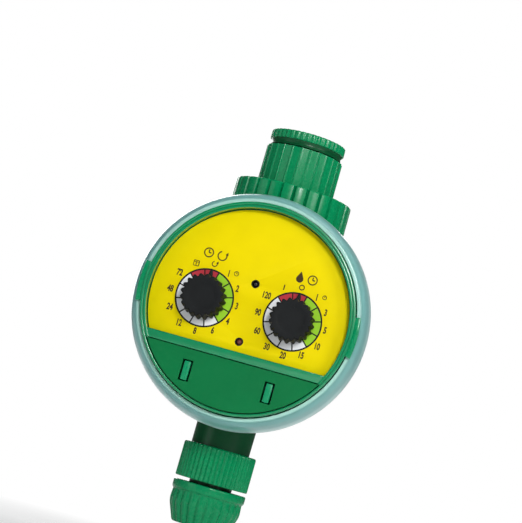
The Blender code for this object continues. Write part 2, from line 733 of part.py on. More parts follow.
# --- Ball valve -----------------------------------------------------------------------------------------
def make_valve_body(front):
    """Main moulding with the ball chamber, the stem boss and the threaded outlet neck."""
    body = turned("valve_body", [
        (BODY_RADIUS, BODY_TOP),
        (BODY_RADIUS, -15 * MM),
        (NECK_RADIUS, -16.5 * MM),
        (NECK_RADIUS, NECK_BOTTOM),
        (8.4 * MM, NECK_BOTTOM),
        (8.4 * MM, NECK_BOTTOM + 8 * MM),
        (BORE_RADIUS, NECK_BOTTOM + 9 * MM),
        (BORE_RADIUS, -CHAMBER_END),
        (CHAMBER_RADIUS, -CHAMBER_END),
        (CHAMBER_RADIUS, BODY_TOP),
    ], DARK_GREEN, steps=FITTING_ROUND)
    join(body, rod("stem_boss", 7.5 * MM, 12.5 * MM, STEM_BOSS_FRONT, None, front))
    cut(body, rod("stem_bore", STEM_HOLE, BALL_RADIUS / 2, 2 * STEM_BOSS_FRONT, None, front,
                  steps=STEM_ROUND))


def make_inlet_tail():
    """Tube screwed into the ball chamber; its top flange holds the swivel nut."""
    groove_low = 18.4 * MM
    groove_high = 20.6 * MM
    groove_radius = 9.3 * MM
    turned("inlet_tail", [
        (TAIL_FLANGE, TAIL_TOP),
        (TAIL_FLANGE, TAIL_TOP - 2.5 * MM),
        (TAIL_RADIUS, TAIL_TOP - 2.5 * MM),
        (TAIL_RADIUS, groove_high),
        (groove_radius, groove_high),
        (groove_radius, groove_low),
        (TAIL_RADIUS, groove_low),
        (TAIL_RADIUS, CHAMBER_END + GAP / 2),
        (BORE_RADIUS, CHAMBER_END + GAP / 2),
        (BORE_RADIUS, 36 * MM),
        (8.9 * MM, 37.2 * MM),
        (8.9 * MM, TAIL_TOP),
    ], DARK_GREEN, steps=SMALL_ROUND)
    profile = tube_profile(TAIL_RADIUS - 0.05 * MM, groove_radius + GAP, groove_high - GAP,
                           groove_low + GAP)
    turned("tail_o_ring", profile, RUBBER, steps=SMALL_ROUND)


def make_ball_seats():
    """Two plastic rings whose conical mouths press on the ball."""
    outer = 10.7 * MM
    inner = 7.3 * MM
    mouth = 9.2 * MM
    near = 4.4 * MM
    deep = 7.5 * MM
    far = CHAMBER_END - GAP
    turned("upper_ball_seat", [(outer, far), (outer, near), (mouth, near), (inner, deep), (inner, far)],
           WHITE, steps=SMALL_ROUND)
    turned("lower_ball_seat", [(outer, -near), (outer, -far), (inner, -far), (inner, -deep),
                               (mouth, -near)], WHITE, steps=SMALL_ROUND)


def make_ball(front):
    """Ball with a cross bore, shut at rest, and a slot for the stem's tongue."""
    mesh = bpy.data.meshes.new("valve_ball")
    model = bmesh.new()
    bmesh.ops.create_uvsphere(model, u_segments=20, v_segments=12, radius=BALL_RADIUS)
    model.to_mesh(mesh)
    model.free()
    ball = finish_object(bpy.data.objects.new("valve_ball", mesh), WHITE, front, (0, 0, 0), (0, 0, 0))
    reach = 2 * BALL_RADIUS
    cut(ball, rod("ball_bore", BALL_BORE, -reach, reach, None, front, rotation=(0, math.pi / 2, 0)))
    half = TONGUE_THICK / 2 + GAP
    cut(ball, box("ball_slot", (-reach, -half, TONGUE_BACK - GAP), (reach, half, reach), None, front))


def make_stem(front):
    """Round stem with a flat tongue, a seal groove and a thinner front journal."""
    groove_back = 13.0 * MM
    groove_front = 14.6 * MM
    groove_radius = 3.0 * MM
    shoulder = OUTPUT_LEVEL[1] + GAP
    journal = 2.5 * MM
    stem = turned("valve_stem", [
        (0, STEM_FRONT),
        (journal, STEM_FRONT),
        (journal, shoulder),
        (STEM_RADIUS, shoulder),
        (STEM_RADIUS, groove_front),
        (groove_radius, groove_front),
        (groove_radius, groove_back),
        (STEM_RADIUS, groove_back),
        (STEM_RADIUS, TONGUE_FRONT),
        (0, TONGUE_FRONT),
    ], BRASS, front, steps=STEM_ROUND)
    half = TONGUE_THICK / 2
    reach = 3.4 * MM
    join(stem, box("tongue", (-reach, -half, TONGUE_BACK), (reach, half, TONGUE_FRONT + 0.5 * MM), None,
                   front))
    profile = tube_profile(STEM_RADIUS - 0.02 * MM, groove_radius + 0.2 * MM, groove_front - GAP,
                           groove_back + GAP)
    turned("stem_o_ring", profile, RUBBER, front, steps=SMALL_ROUND)


# --- Gear train -----------------------------------------------------------------------------------------
def capsule(first, first_radius, second, second_radius, steps=12):
    """Outline of two discs and the straight sides between them; the second lies to the right."""
    run = second[0] - first[0]
    rise = second[1] - first[1]
    lean = math.atan2(rise, run)
    flare = math.acos((first_radius - second_radius) / math.hypot(run, rise))
    points = []
    for centre, radius, start, end in (
            (second, second_radius, lean - flare, lean + flare),
            (first, first_radius, lean + flare, lean + 2 * math.pi - flare)):
        for x, y in arc(radius, start, end, steps):
            points.append((centre[0] + x, centre[1] + y))
    return points


def gear(front, name, centre, layers, bore, material):
    """One or two toothed layers made as one wheel; each layer is (teeth, module, phase, low, high)."""
    pieces = []
    for index, (teeth, module, phase, low, high) in enumerate(layers):
        tag = name if index == 0 else "%s_layer_%d" % (name, index)
        pieces.append(plate(tag, [gear_outline(teeth, module, phase)], low, high,
                            material if index == 0 else None, front, (*centre, 0)))
    join(pieces[0], *pieces[1:])
    low = layers[0][3] - 1 * MM
    high = layers[-1][4] + 1 * MM
    cut(pieces[0], rod(name + "_bore", bore, low, high, None, front, (*centre, 0), steps=TINY_ROUND))


def make_gear_train(front):
    """Motor pinion, two stepped idlers and the output gear, lying at rest with teeth in gaps."""
    overlap = 0.2 * MM
    second_centre = (SECOND_GEAR_X, 0)
    step = (WHEEL_TEETH + PINION_TEETH) / 2
    first_centre = offset_by(second_centre, step * MODULE_MIDDLE, STAGE_ANGLE)
    motor_centre = offset_by(first_centre, step * MODULE_MOTOR, MOTOR_ANGLE)
    output_to_second = meshing_phase(0, OUTPUT_TEETH, 0, PINION_TEETH)
    second_to_first = meshing_phase(0, WHEEL_TEETH, STAGE_ANGLE, PINION_TEETH)
    first_to_motor = meshing_phase(0, WHEEL_TEETH, MOTOR_ANGLE, PINION_TEETH)
    gear(front, "output_gear", (0, 0), [(OUTPUT_TEETH, MODULE_OUTPUT, 0, *OUTPUT_LEVEL)],
         STEM_RADIUS + GAP, WHITE)
    gear(front, "second_gear", second_centre, [
        (WHEEL_TEETH, MODULE_MIDDLE, 0, *MIDDLE_LEVEL),
        (PINION_TEETH, MODULE_OUTPUT, output_to_second, MIDDLE_LEVEL[1] - overlap, OUTPUT_LEVEL[1]),
    ], AXLE_HOLE, WHITE)
    gear(front, "first_gear", first_centre, [
        (WHEEL_TEETH, MODULE_MOTOR, 0, *MOTOR_LEVEL),
        (PINION_TEETH, MODULE_MIDDLE, second_to_first, MOTOR_LEVEL[1] - overlap, MIDDLE_LEVEL[1]),
    ], AXLE_HOLE, WHITE)
    pinion = plate("motor_pinion", [gear_outline(PINION_TEETH, MODULE_MOTOR, first_to_motor)],
                   *MOTOR_LEVEL, BRASS, front, (*motor_centre, 0))
    join(pinion, rod("motor_shaft", MOTOR_SHAFT, MOTOR_FRONT - 6 * MM, MOTOR_LEVEL[1] - overlap, None,
                     front, (*motor_centre, 0), steps=TINY_ROUND))
    make_gearbox(front, first_centre, second_centre, motor_centre)
    make_motor(front, motor_centre)


def offset_by(point, distance, angle):
    return (point[0] + distance * math.cos(angle), point[1] + distance * math.sin(angle))


def make_gearbox(front, first_centre, second_centre, motor_centre):
    outline = capsule((0, 0), 17 * MM, (26 * MM, 4 * MM), 13 * MM)
    axle_holes = [circle(AXLE_RADIUS + GAP, centre, TINY_ROUND) for centre in (first_centre, second_centre)]
    base_holes = [circle(STEM_RADIUS + GAP), circle(MOTOR_BOSS + GAP, motor_centre, TINY_ROUND)]
    base = plate("gearbox_base", [outline] + base_holes, *BASE_LEVEL, BLACK, front)
    for name, centre in (("first_axle", first_centre), ("second_axle", second_centre)):
        join(base, rod(name, AXLE_RADIUS, BASE_LEVEL[0] + 0.2 * MM, LID_LEVEL[1], None, front,
                       (*centre, 0), steps=TINY_ROUND))
    lid = plate("gearbox_lid", [outline, circle(2.5 * MM + GAP, steps=TINY_ROUND)] + axle_holes, *LID_LEVEL,
                BLACK, front)
    pillars = ((-10.5 * MM, -10.5 * MM), (-10.5 * MM, 10.5 * MM), (33 * MM, -4 * MM))
    for number, place in enumerate(pillars, start=1):
        join(lid, rod("pillar_%d" % number, 1.5 * MM, BASE_LEVEL[1] + GAP, LID_LEVEL[0] + 0.2 * MM, None,
                      front, (*place, 0), steps=TINY_ROUND))


def make_motor(front, centre):
    """Direct-current motor can with a front bearing boss, and its shaft."""
    boss_front = BASE_LEVEL[1] - GAP
    bearing = MOTOR_SHAFT + GAP
    turned("motor", [
        (bearing, boss_front),
        (MOTOR_BOSS, boss_front),
        (MOTOR_BOSS, MOTOR_FRONT),
        (MOTOR_RADIUS, MOTOR_FRONT),
        (MOTOR_RADIUS, MOTOR_BACK + 1.5 * MM),
        (MOTOR_RADIUS - 1.5 * MM, MOTOR_BACK),
        (bearing, MOTOR_BACK),
    ], STEEL, front, (*centre, 0), steps=SMALL_ROUND)
    x, y = CABLE_PLACE
    behind = MOTOR_BACK - GAP - 2.4 * MM
    make_cable(front, "motor_cable", [
        (*centre, MOTOR_BACK - GAP),
        (centre[0], centre[1] + 0.6 * MM, behind + 0.6 * MM),
        (centre[0], centre[1] + 2 * MM, behind),
        (x, y - 2 * MM, behind),
        (x, y - 0.6 * MM, behind + 0.6 * MM),
        (x, y, behind + 2 * MM),
        (x, y, BOARD_BACK - GAP),
    ])


def make_cable(front, name, path):
    """The two-core lead that runs from the motor round to the back of the board."""
    curve = bpy.data.curves.new(name, "CURVE")
    curve.dimensions = "3D"
    curve.bevel_depth = CABLE_RADIUS
    curve.bevel_resolution = 2
    curve.use_fill_caps = True
    spline = curve.splines.new("POLY")
    spline.points.add(len(path) - 1)
    for point, place in zip(spline.points, path):
        point.co = (*place, 1)
    finish_object(bpy.data.objects.new(name, curve), RED_WIRE, front, (0, 0, 0), (0, 0, 0))


# --- Inlet fittings -------------------------------------------------------------------------------------
def make_swivel_nut():
    """Wide fluted collar with an inner thread sleeve, hollow from below, and a lip under the flange."""
    outline = toothed(NUT_FLUTES, NUT_ROOT, NUT_RADIUS, 0.43, 0.37)
    lip = circle(TAIL_RADIUS + 0.4 * MM)
    nut = plate("swivel_nut", [outline, lip], NUT_BOTTOM, NUT_TOP, GREEN)
    cut(nut, rod("nut_thread", INLET_THREAD, NUT_BOTTOM + 1.6 * MM, 2 * NUT_TOP, None, steps=FITTING_ROUND))
    hollow = tube_profile(22.8 * MM, 19 * MM, NUT_TOP - 3.5 * MM, NUT_BOTTOM - 5 * MM)
    cut(nut, turned("nut_hollow", hollow, None, steps=FITTING_ROUND))


def make_filter():
    """Cup-shaped strainer that hangs in the tail below the inlet washer."""
    rim_top = TAIL_TOP + 0.9 * MM
    rim_low = TAIL_TOP + GAP
    wall = 0.6 * MM
    outer = 8.4 * MM
    floor = 38.2 * MM
    turned("inlet_filter", [
        (0, floor + wall),
        (outer - wall, floor + wall),
        (outer - wall, rim_top),
        (12 * MM, rim_top),
        (12 * MM, rim_low),
        (outer, rim_low),
        (outer, floor),
        (0, floor),
    ], WHITE, steps=SMALL_ROUND)
    turned("inlet_washer", tube_profile(15.4 * MM, 9 * MM, rim_top + GAP + 1.6 * MM, rim_top + GAP),
           RUBBER, steps=SMALL_ROUND)


def make_inlet_adapter():
    """Socket that screws into the swivel nut and takes the reducer."""
    thread = INLET_THREAD - 0.35 * MM
    shoulder = NUT_TOP + GAP
    turned("inlet_adapter", [
        (ADAPTER_RADIUS - 0.5 * MM, ADAPTER_TOP),
        (ADAPTER_RADIUS, ADAPTER_TOP - 0.5 * MM),
        (ADAPTER_RADIUS - 0.1 * MM, shoulder),
        (thread, shoulder),
        (thread, ADAPTER_BOTTOM),
        (10.2 * MM, ADAPTER_BOTTOM),
        (10.2 * MM, 61 * MM),
        (REDUCER_NECK + GAP, 61.5 * MM),
        (REDUCER_NECK + GAP, ADAPTER_TOP),
    ], GREEN, steps=FITTING_ROUND)
    turned("adapter_washer", tube_profile(12.2 * MM, 8.2 * MM, REDUCER_BOTTOM - GAP, 61.8 * MM), RUBBER,
           steps=SMALL_ROUND)


def make_reducer():
    """Knurled collar with a threaded nose below and the tap's thread inside."""
    edge = 0.5 * MM
    turned("tap_reducer", [
        (REDUCER_RADIUS - edge, REDUCER_TOP),
        (REDUCER_RADIUS, REDUCER_TOP - edge),
        (REDUCER_RADIUS, REDUCER_FLANGE),
        (REDUCER_STEP, REDUCER_FLANGE),
        (REDUCER_STEP, ADAPTER_TOP + GAP),
        (REDUCER_NECK, ADAPTER_TOP + GAP),
        (REDUCER_NECK, REDUCER_BOTTOM),
        (7.4 * MM, REDUCER_BOTTOM),
        (7.4 * MM, REDUCER_SEAT),
        (TAP_THREAD, REDUCER_SEAT),
        (TAP_THREAD, REDUCER_TOP),
    ], GREEN, steps=FITTING_ROUND)
    turned("tap_washer", tube_profile(9.9 * MM, 7.2 * MM, REDUCER_SEAT + GAP + 2 * MM, REDUCER_SEAT + GAP),
           RUBBER, steps=SMALL_ROUND)


# --- Outlet fittings ------------------------------------------------------------------------------------
def make_outlet_nut():
    """Ribbed union nut on the outlet neck; its lower lip lifts the hose tail's flange."""
    edge = 0.8 * MM
    turned("outlet_nut", [
        (OUTLET_NUT_RADIUS - edge, OUTLET_NUT_TOP),
        (OUTLET_NUT_RADIUS, OUTLET_NUT_TOP - edge),
        (OUTLET_NUT_RADIUS, OUTLET_NUT_BOTTOM),
        (TAIL_PIPE + 0.4 * MM, OUTLET_NUT_BOTTOM),
        (TAIL_PIPE + 0.4 * MM, OUTLET_NUT_BOTTOM + OUTLET_LIP),
        (NECK_RADIUS + GAP, OUTLET_NUT_BOTTOM + OUTLET_LIP),
        (NECK_RADIUS + GAP, OUTLET_NUT_TOP),
    ], GREEN, steps=FITTING_ROUND)


def make_hose_tail():
    """Flanged tail with a collar thread and a barb for the hose, sealed by a flat washer."""
    flange_top = OUTLET_NUT_BOTTOM + OUTLET_LIP + GAP + 1.9 * MM
    thread_end = -83 * MM
    barbs = 2
    barb_pitch = 4.4 * MM
    profile = [
        (NECK_RADIUS - 0.1 * MM, flange_top),
        (NECK_RADIUS - 0.1 * MM, flange_top - 1.9 * MM),
        (TAIL_PIPE, flange_top - 1.9 * MM),
        (TAIL_PIPE, thread_end),
        (BARB_ROOT, thread_end - 0.4 * MM),
    ]
    for index in range(barbs):
        top = thread_end - 1 * MM - index * barb_pitch
        profile += [(BARB_ROOT, top), (BARB_TIP, top - 0.3 * MM), (BARB_ROOT, top - barb_pitch + 0.2 * MM)]
    end = thread_end - 2.2 * MM - barbs * barb_pitch
    profile += [(BARB_ROOT, end), (5.0 * MM, end), (5.0 * MM, -74 * MM), (7.4 * MM, flange_top)]
    turned("hose_tail", profile, DARK_GREEN, steps=SMALL_ROUND)
    turned("outlet_washer", tube_profile(12.9 * MM, 8.0 * MM, NECK_BOTTOM - GAP, flange_top + GAP), RUBBER,
           steps=SMALL_ROUND)


def make_clamp():
    """Clamp nut on the tail's thread and the collet that it presses round the hose."""
    edge = 0.8 * MM
    inner = TAIL_PIPE + 0.35 * MM
    step = -84.2 * MM
    mouth = 8.8 * MM
    turned("clamp_nut", [
        (OUTLET_NUT_RADIUS - edge, CLAMP_TOP),
        (OUTLET_NUT_RADIUS, CLAMP_TOP - edge),
        (OUTLET_NUT_RADIUS - 0.3 * MM, CLAMP_TOP - 9 * MM),
        (12.2 * MM, CLAMP_BOTTOM),
        (mouth, CLAMP_BOTTOM),
        (inner, CLAMP_BOTTOM + 3 * MM),
        (inner, CLAMP_TOP),
    ], GREEN, steps=FITTING_ROUND)
    collet_low = CLAMP_BOTTOM + 3.4 * MM
    outline = [(inner - GAP, step - 0.2 * MM), (inner - GAP, collet_low), (7.5 * MM, collet_low),
               (7.5 * MM, step - 0.2 * MM)]
    turned("clamp_collet", outline, WHITE, steps=SMALL_ROUND)


# --- Assembly -------------------------------------------------------------------------------------------
def build_timer():
    front = new_empty("front_frame", rotation=FACE_FRONT)
    make_rear_case(front)
    make_clear_ring(front)
    make_case_seal(front)
    make_control_housing(front)
    make_dial_plate(front)
    make_control_cover(front)
    make_circuit_board(front)
    make_lamp(front, "upper_lamp", UPPER_LED_Z, BLACK)
    make_lamp(front, "lower_lamp", LOWER_LED_Z, LED_RED)
    make_dial(front, "frequency", -1)
    make_dial(front, "water_time", 1)
    make_drawer(front)
    make_screws(front)
    make_valve_body(front)
    make_inlet_tail()
    make_ball_seats()
    make_ball(front)
    make_stem(front)
    make_gear_train(front)
    make_swivel_nut()
    make_filter()
    make_inlet_adapter()
    make_reducer()
    make_outlet_nut()
    make_hose_tail()
    make_clamp()
    hang_on_back_centre()
    for obj in PARTS.objects:
        if obj.type == "MESH":
            smooth(obj)


def hang_on_back_centre():
    """Move the water axis to its place in front of the case's back."""
    root = new_empty("back_centre", (0, CASE_BACK, 0))
    for obj in list(PARTS.objects) + list(CUTTERS.objects):
        if obj.parent is None and obj is not root:
            obj.parent = root


build_timer()
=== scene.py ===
import json
import math

import bmesh
import bpy
from mathutils import Matrix, Vector


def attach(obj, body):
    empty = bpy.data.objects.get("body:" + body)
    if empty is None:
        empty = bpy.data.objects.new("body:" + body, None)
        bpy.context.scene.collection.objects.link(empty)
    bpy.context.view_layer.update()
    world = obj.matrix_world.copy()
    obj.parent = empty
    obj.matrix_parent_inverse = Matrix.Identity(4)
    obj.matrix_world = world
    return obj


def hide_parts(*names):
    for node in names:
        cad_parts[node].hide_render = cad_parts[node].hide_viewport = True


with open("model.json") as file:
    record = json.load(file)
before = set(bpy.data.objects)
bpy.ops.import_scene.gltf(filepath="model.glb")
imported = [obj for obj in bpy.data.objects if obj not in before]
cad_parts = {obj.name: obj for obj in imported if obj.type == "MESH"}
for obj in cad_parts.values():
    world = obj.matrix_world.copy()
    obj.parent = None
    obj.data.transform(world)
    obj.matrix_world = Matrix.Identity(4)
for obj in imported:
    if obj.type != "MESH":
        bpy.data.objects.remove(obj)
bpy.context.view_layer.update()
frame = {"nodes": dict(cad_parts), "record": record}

# Every shape below is drawn in millimetres. FACE is the dial's own frame (x right, y up, z to the reader) and
# WATER is the frame of the water axis (z up). Both are placed 20 mm in front of the case's back.
TURN = 2 * math.pi
MM = 0.001
WATER = Matrix.Translation((0, -20 * MM, 0)) @ Matrix.Scale(MM, 4)
FACE = Matrix.Translation((0, -20 * MM, 0)) @ Matrix.Rotation(math.radians(90), 4, "X") @ Matrix.Scale(MM, 4)

# Control housing: the rim, the seam in it, the level band and the yellow plate behind them.
RIM_INNER = 41.9
RIM_OUTER = 44.3
RIM_FRONT = 46.5
SEAM = 43.1
BAND_LOW = -21.8
BAND_HIGH = -18.2
BAND_FRONT = 46.3
PLATE_FRONT = 42.0
DIAL_X = 18.85
SHAFT_HOLE = 3.6
LAMP_HEIGHTS = (11.0, -13.7)

# Printing on the plate, in layers so thin that they read as ink.
PRINT_LOW = PLATE_FRONT + 0.01
FIELD_HIGH = PRINT_LOW + 0.03
ICON_HIGH = PLATE_FRONT + 0.05
TICK_HIGH = PRINT_LOW + 0.055
CIRCLE_HIGH = PRINT_LOW + 0.06
FIELD_INNER = 7.0
FIELD_OUTER = 11.75
DIGIT_SIZE = 3.75
DIGIT_WEIGHT = 0.14
DIGIT_SQUEEZE = 0.66
DIGIT_THICK = 0.04
TITLE_Y = 18.6

# Battery drawer and its two release tabs.
PANEL_FRONT = 45.9
PANEL_BACK = 43.4
TAB_X = 17.4
DRAWER_BACK = 19.1
DRAWER_FRONT = 44.0
DRAWER_TOP = -22.4
DRAWER_FLOOR = -31.3

# Rear case: its front lip, the frosted collar before the lip, and the circle that the four screws stand on.
LIP_BACK = 26.8
LIP_FRONT = 28.3
COLLAR_INNER = 44.7
COLLAR_OUTER = 50.0
SCREW_CIRCLE = 37.6
CASE_SCREWS = [(SCREW_CIRCLE * math.cos(math.radians(angle)), SCREW_CIRCLE * math.sin(math.radians(angle)))
               for angle in (35, 145, 215, 325)]

# Water line: the visible threads and the heights of the fittings along it.
PITCH = 1.8
NUT_RADIUS = 25.9
NUT_LOW = 43.3
NUT_TOP = 58.4
ADAPTER_RADIUS = 17.0
ADAPTER_LOW = 58.7
ADAPTER_TOP = 76.0
REDUCER_RADIUS = 16.6
REDUCER_LOW = 78.9
REDUCER_TOP = 83.1
OUTLET_RADIUS = 15.9
OUTLET_TOP = -57.5
OUTLET_LOW = -72.8
CLAMP_TOP = -74.3
CLAMP_LOW = -92.0
TAIL_END = -94.0

# Edges sharper than these angles, in degrees, are softened or stay sharp in the shading.
SOFTEN_ABOVE = 50
SHARP_ABOVE = 32

# In metres: where the cells' copper band starts along x, and the studio's floor.
COPPER_FROM = 0.0198
FLOOR_HEIGHT = -0.116
FLOOR_HALF = 6
FADE_START = 0.125
FADE_END = 0.32


# --- Materials -------------------------------------------------------------------------------------------
class Finish:
    """A Principled material from object-space noise: mottled colour, uneven gloss, grain, and lighter edges
    that are part worn edges and part painted edge highlight.

    mottle and gloss are how far the colour and the roughness stray, grain is the strength of the fine bump,
    edge_wear_and_highlight is how much of the lighter edge colour (wear and painted highlight) shows on
    edges, and shine is the specular level.
    """

    def __init__(self, name, colour, roughness, metallic=0.0, mottle=0.04, gloss=0.05, grain=0.05,
                 grain_scale=3600, edge_wear_and_highlight=0.12, worn_and_highlight_colour=None, coat=0.0, shine=0.4):
        self.material = bpy.data.materials.new(name)
        self.material.use_nodes = True
        self.nodes = self.material.node_tree.nodes
        self.links = self.material.node_tree.links
        self.shader = self.nodes["Principled BSDF"]
        self.place = self.nodes.new("ShaderNodeTexCoord")
        self.shader.inputs["Metallic"].default_value = metallic
        self.shader.inputs["Coat Weight"].default_value = coat
        self.shader.inputs["Coat Roughness"].default_value = 0.12
        self.shader.inputs["Specular IOR Level"].default_value = shine
        broad = self.noise(70, 3)
        fine = self.noise(650, 5)
        dark = [c * (1 - mottle) for c in colour]
        light = [min(1.0, c * (1 + mottle)) for c in colour]
        base = self.mix(self.spread(broad.outputs["Fac"], 0.35, 0.65, 0, 1), dark, light)
        if worn_and_highlight_colour is None:
            worn_and_highlight_colour = [min(1.0, c * 1.4 + 0.03) for c in colour]
        # Lighter convex edges broken up by noise: part wear, part painted edge highlight.
        edge = self.spread(self.nodes.new("ShaderNodeNewGeometry").outputs["Pointiness"], 0.52, 0.62, 0, 1)
        scuffs_and_glints = self.spread(fine.outputs["Fac"], 0.3, 0.7, 0.5, 1)
        mask = self.maths("MULTIPLY", edge, scuffs_and_glints)
        mask = self.maths("MULTIPLY", mask, edge_wear_and_highlight)
        self.colour = self.mix(mask, base, worn_and_highlight_colour)
        self.links.new(self.colour, self.shader.inputs["Base Color"])
        rough = self.spread(fine.outputs["Fac"], 0.3, 0.7, roughness - gloss, roughness + gloss)
        self.links.new(rough, self.shader.inputs["Roughness"])
        bump = self.nodes.new("ShaderNodeBump")
        bump.inputs["Strength"].default_value = grain
        bump.inputs["Distance"].default_value = 0.0002
        self.links.new(self.noise(grain_scale, 3).outputs["Fac"], bump.inputs["Height"])
        self.links.new(bump.outputs["Normal"], self.shader.inputs["Normal"])

    def noise(self, scale, detail):
        node = self.nodes.new("ShaderNodeTexNoise")
        node.inputs["Scale"].default_value = scale
        node.inputs["Detail"].default_value = detail
        self.links.new(self.place.outputs["Object"], node.inputs["Vector"])
        return node

    def spread(self, value, low, high, to_low, to_high):
        """Map low..high to to_low..to_high, clamped."""
        node = self.nodes.new("ShaderNodeMapRange")
        for key, number in (("From Min", low), ("From Max", high), ("To Min", to_low), ("To Max", to_high)):
            node.inputs[key].default_value = number
        self.links.new(value, node.inputs["Value"])
        return node.outputs["Result"]

    def maths(self, operation, first, second):
        node = self.nodes.new("ShaderNodeMath")
        node.operation = operation
        for value, socket in ((first, node.inputs[0]), (second, node.inputs[1])):
            if isinstance(value, (int, float)):
                socket.default_value = value
            else:
                self.links.new(value, socket)
        return node.outputs[0]

    def mix(self, factor, first, second):
        node = self.nodes.new("ShaderNodeMix")
        node.data_type = "RGBA"
        self.links.new(factor, node.inputs["Factor"])
        colours = {socket.name: socket for socket in node.inputs if socket.type == "RGBA"}
        for name, value in (("A", first), ("B", second)):
            if isinstance(value, (list, tuple)):
                colours[name].default_value = (*value, 1.0)
            else:
                self.links.new(value, colours[name])
        return [output for output in node.outputs if output.type == "RGBA"][0]

    def ramp(self, value, stops):
        node = self.nodes.new("ShaderNodeValToRGB")
        bar = node.color_ramp.elements
        while len(bar) < len(stops):
            bar.new(0.5)
        for element, (position, colour) in zip(bar, stops):
            element.position = position
            element.color = (*colour, 1.0)
        self.links.new(value, node.inputs["Fac"])
        return node.outputs["Color"]

    def repaint(self, mask, colour):
        """Lay another colour over the finish where the mask is 1."""
        if isinstance(mask, float):
            holder = self.nodes.new("ShaderNodeValue")
            holder.outputs[0].default_value = mask
            mask = holder.outputs[0]
        self.colour = self.mix(mask, self.colour, colour)
        self.links.new(self.colour, self.shader.inputs["Base Color"])


GREEN = Finish("green_abs", (0.0, 0.225, 0.080), 0.27, coat=0.12, shine=0.22, edge_wear_and_highlight=0.03)
BAND_GREEN = Finish("band_green_abs", (0.0, 0.235, 0.090), 0.27, coat=0.12, shine=0.2)
RIM_GREEN = Finish("rim_green_abs", (0.0, 0.225, 0.082), 0.20, coat=0.6, shine=0.4, edge_wear_and_highlight=0.05)
# Painted shade: the drawer panel is the housing's green made darker.
PANEL_SHADE_GREEN = Finish("panel_shade_green_abs", (0.0, 0.150, 0.042), 0.36, shine=0.12)
TAB_GREEN = Finish("tab_green_abs", (0.0, 0.25, 0.10), 0.30, shine=0.3)
CASE_GREEN = Finish("case_green_abs", (0.0, 0.185, 0.064), 0.30, coat=0.15, shine=0.3)
# Dark green for the hose tail and the kept dark-green parts; on the reducer's step and the outlet neck it is
# painted shade.
DARK_GREEN_AND_PAINTED_SHADE = Finish("dark_green_abs", (0.0, 0.066, 0.020), 0.34, coat=0.1, shine=0.2, edge_wear_and_highlight=0.04)
YELLOW = Finish("yellow_label", (0.80, 0.64, 0.0), 0.6, mottle=0.02, grain=0.03, edge_wear_and_highlight=0.05, shine=0.05)
INK = Finish("label_ink", (0.008, 0.007, 0.006), 0.5, mottle=0.1, edge_wear_and_highlight=0.0, shine=0.2)
NUMBER_INK = Finish("number_ink", (0.050, 0.028, 0.003), 0.5, mottle=0.1, edge_wear_and_highlight=0.0, shine=0.2)
RED_INK = Finish("red_ink", (0.48, 0.030, 0.045), 0.5, mottle=0.04, edge_wear_and_highlight=0.0, shine=0.2)
LIME_INK = Finish("lime_ink", (0.29, 0.58, 0.02), 0.5, mottle=0.04, edge_wear_and_highlight=0.0, shine=0.2)
WHITE_INK = Finish("white_ink", (0.78, 0.79, 0.81), 0.45, mottle=0.02, edge_wear_and_highlight=0.0, shine=0.3)
KNOB_BLACK = Finish("matte_black", (0.0060, 0.0072, 0.0080), 0.55, mottle=0.15, grain=0.12, edge_wear_and_highlight=0.3,
                    worn_and_highlight_colour=(0.02, 0.022, 0.024), shine=0.15)
LAMP_BLACK = Finish("lamp_black", (0.012, 0.010, 0.010), 0.25, edge_wear_and_highlight=0.0)
LAMP_RED = Finish("lamp_red", (0.16, 0.045, 0.035), 0.2, edge_wear_and_highlight=0.0)
RUBBER = Finish("black_rubber", (0.018, 0.018, 0.019), 0.75, grain=0.2, grain_scale=2200, edge_wear_and_highlight=0.1)
NATURAL = Finish("natural_plastic", (0.72, 0.70, 0.63), 0.42)
STEEL = Finish("zinc_steel", (0.55, 0.55, 0.56), 0.32, metallic=1.0, mottle=0.08, gloss=0.1, edge_wear_and_highlight=0.4,
               worn_and_highlight_colour=(0.8, 0.8, 0.8))
BRASS = Finish("brass", (0.66, 0.45, 0.17), 0.3, metallic=1.0, mottle=0.08, gloss=0.08, edge_wear_and_highlight=0.4,
               worn_and_highlight_colour=(0.9, 0.75, 0.45))
DARK_PLASTIC = Finish("black_plastic", (0.014, 0.014, 0.015), 0.5, grain=0.12)
CABLE = Finish("cable_jacket", (0.05, 0.006, 0.006), 0.5)
JACKET = Finish("cell_jacket", (0.018, 0.024, 0.045), 0.28, metallic=0.3, coat=0.4)
BOARD = Finish("circuit_board", (0.010, 0.085, 0.030), 0.45, mottle=0.15)
# Painted highlight: the collar's edges turn near-white aqua through the edge colour.
FROST = Finish("frosted_clear", (0.27, 0.50, 0.47), 0.34, gloss=0.05, grain=0.10, grain_scale=1800,
               edge_wear_and_highlight=0.35, worn_and_highlight_colour=(0.75, 0.95, 0.92), coat=0.4)


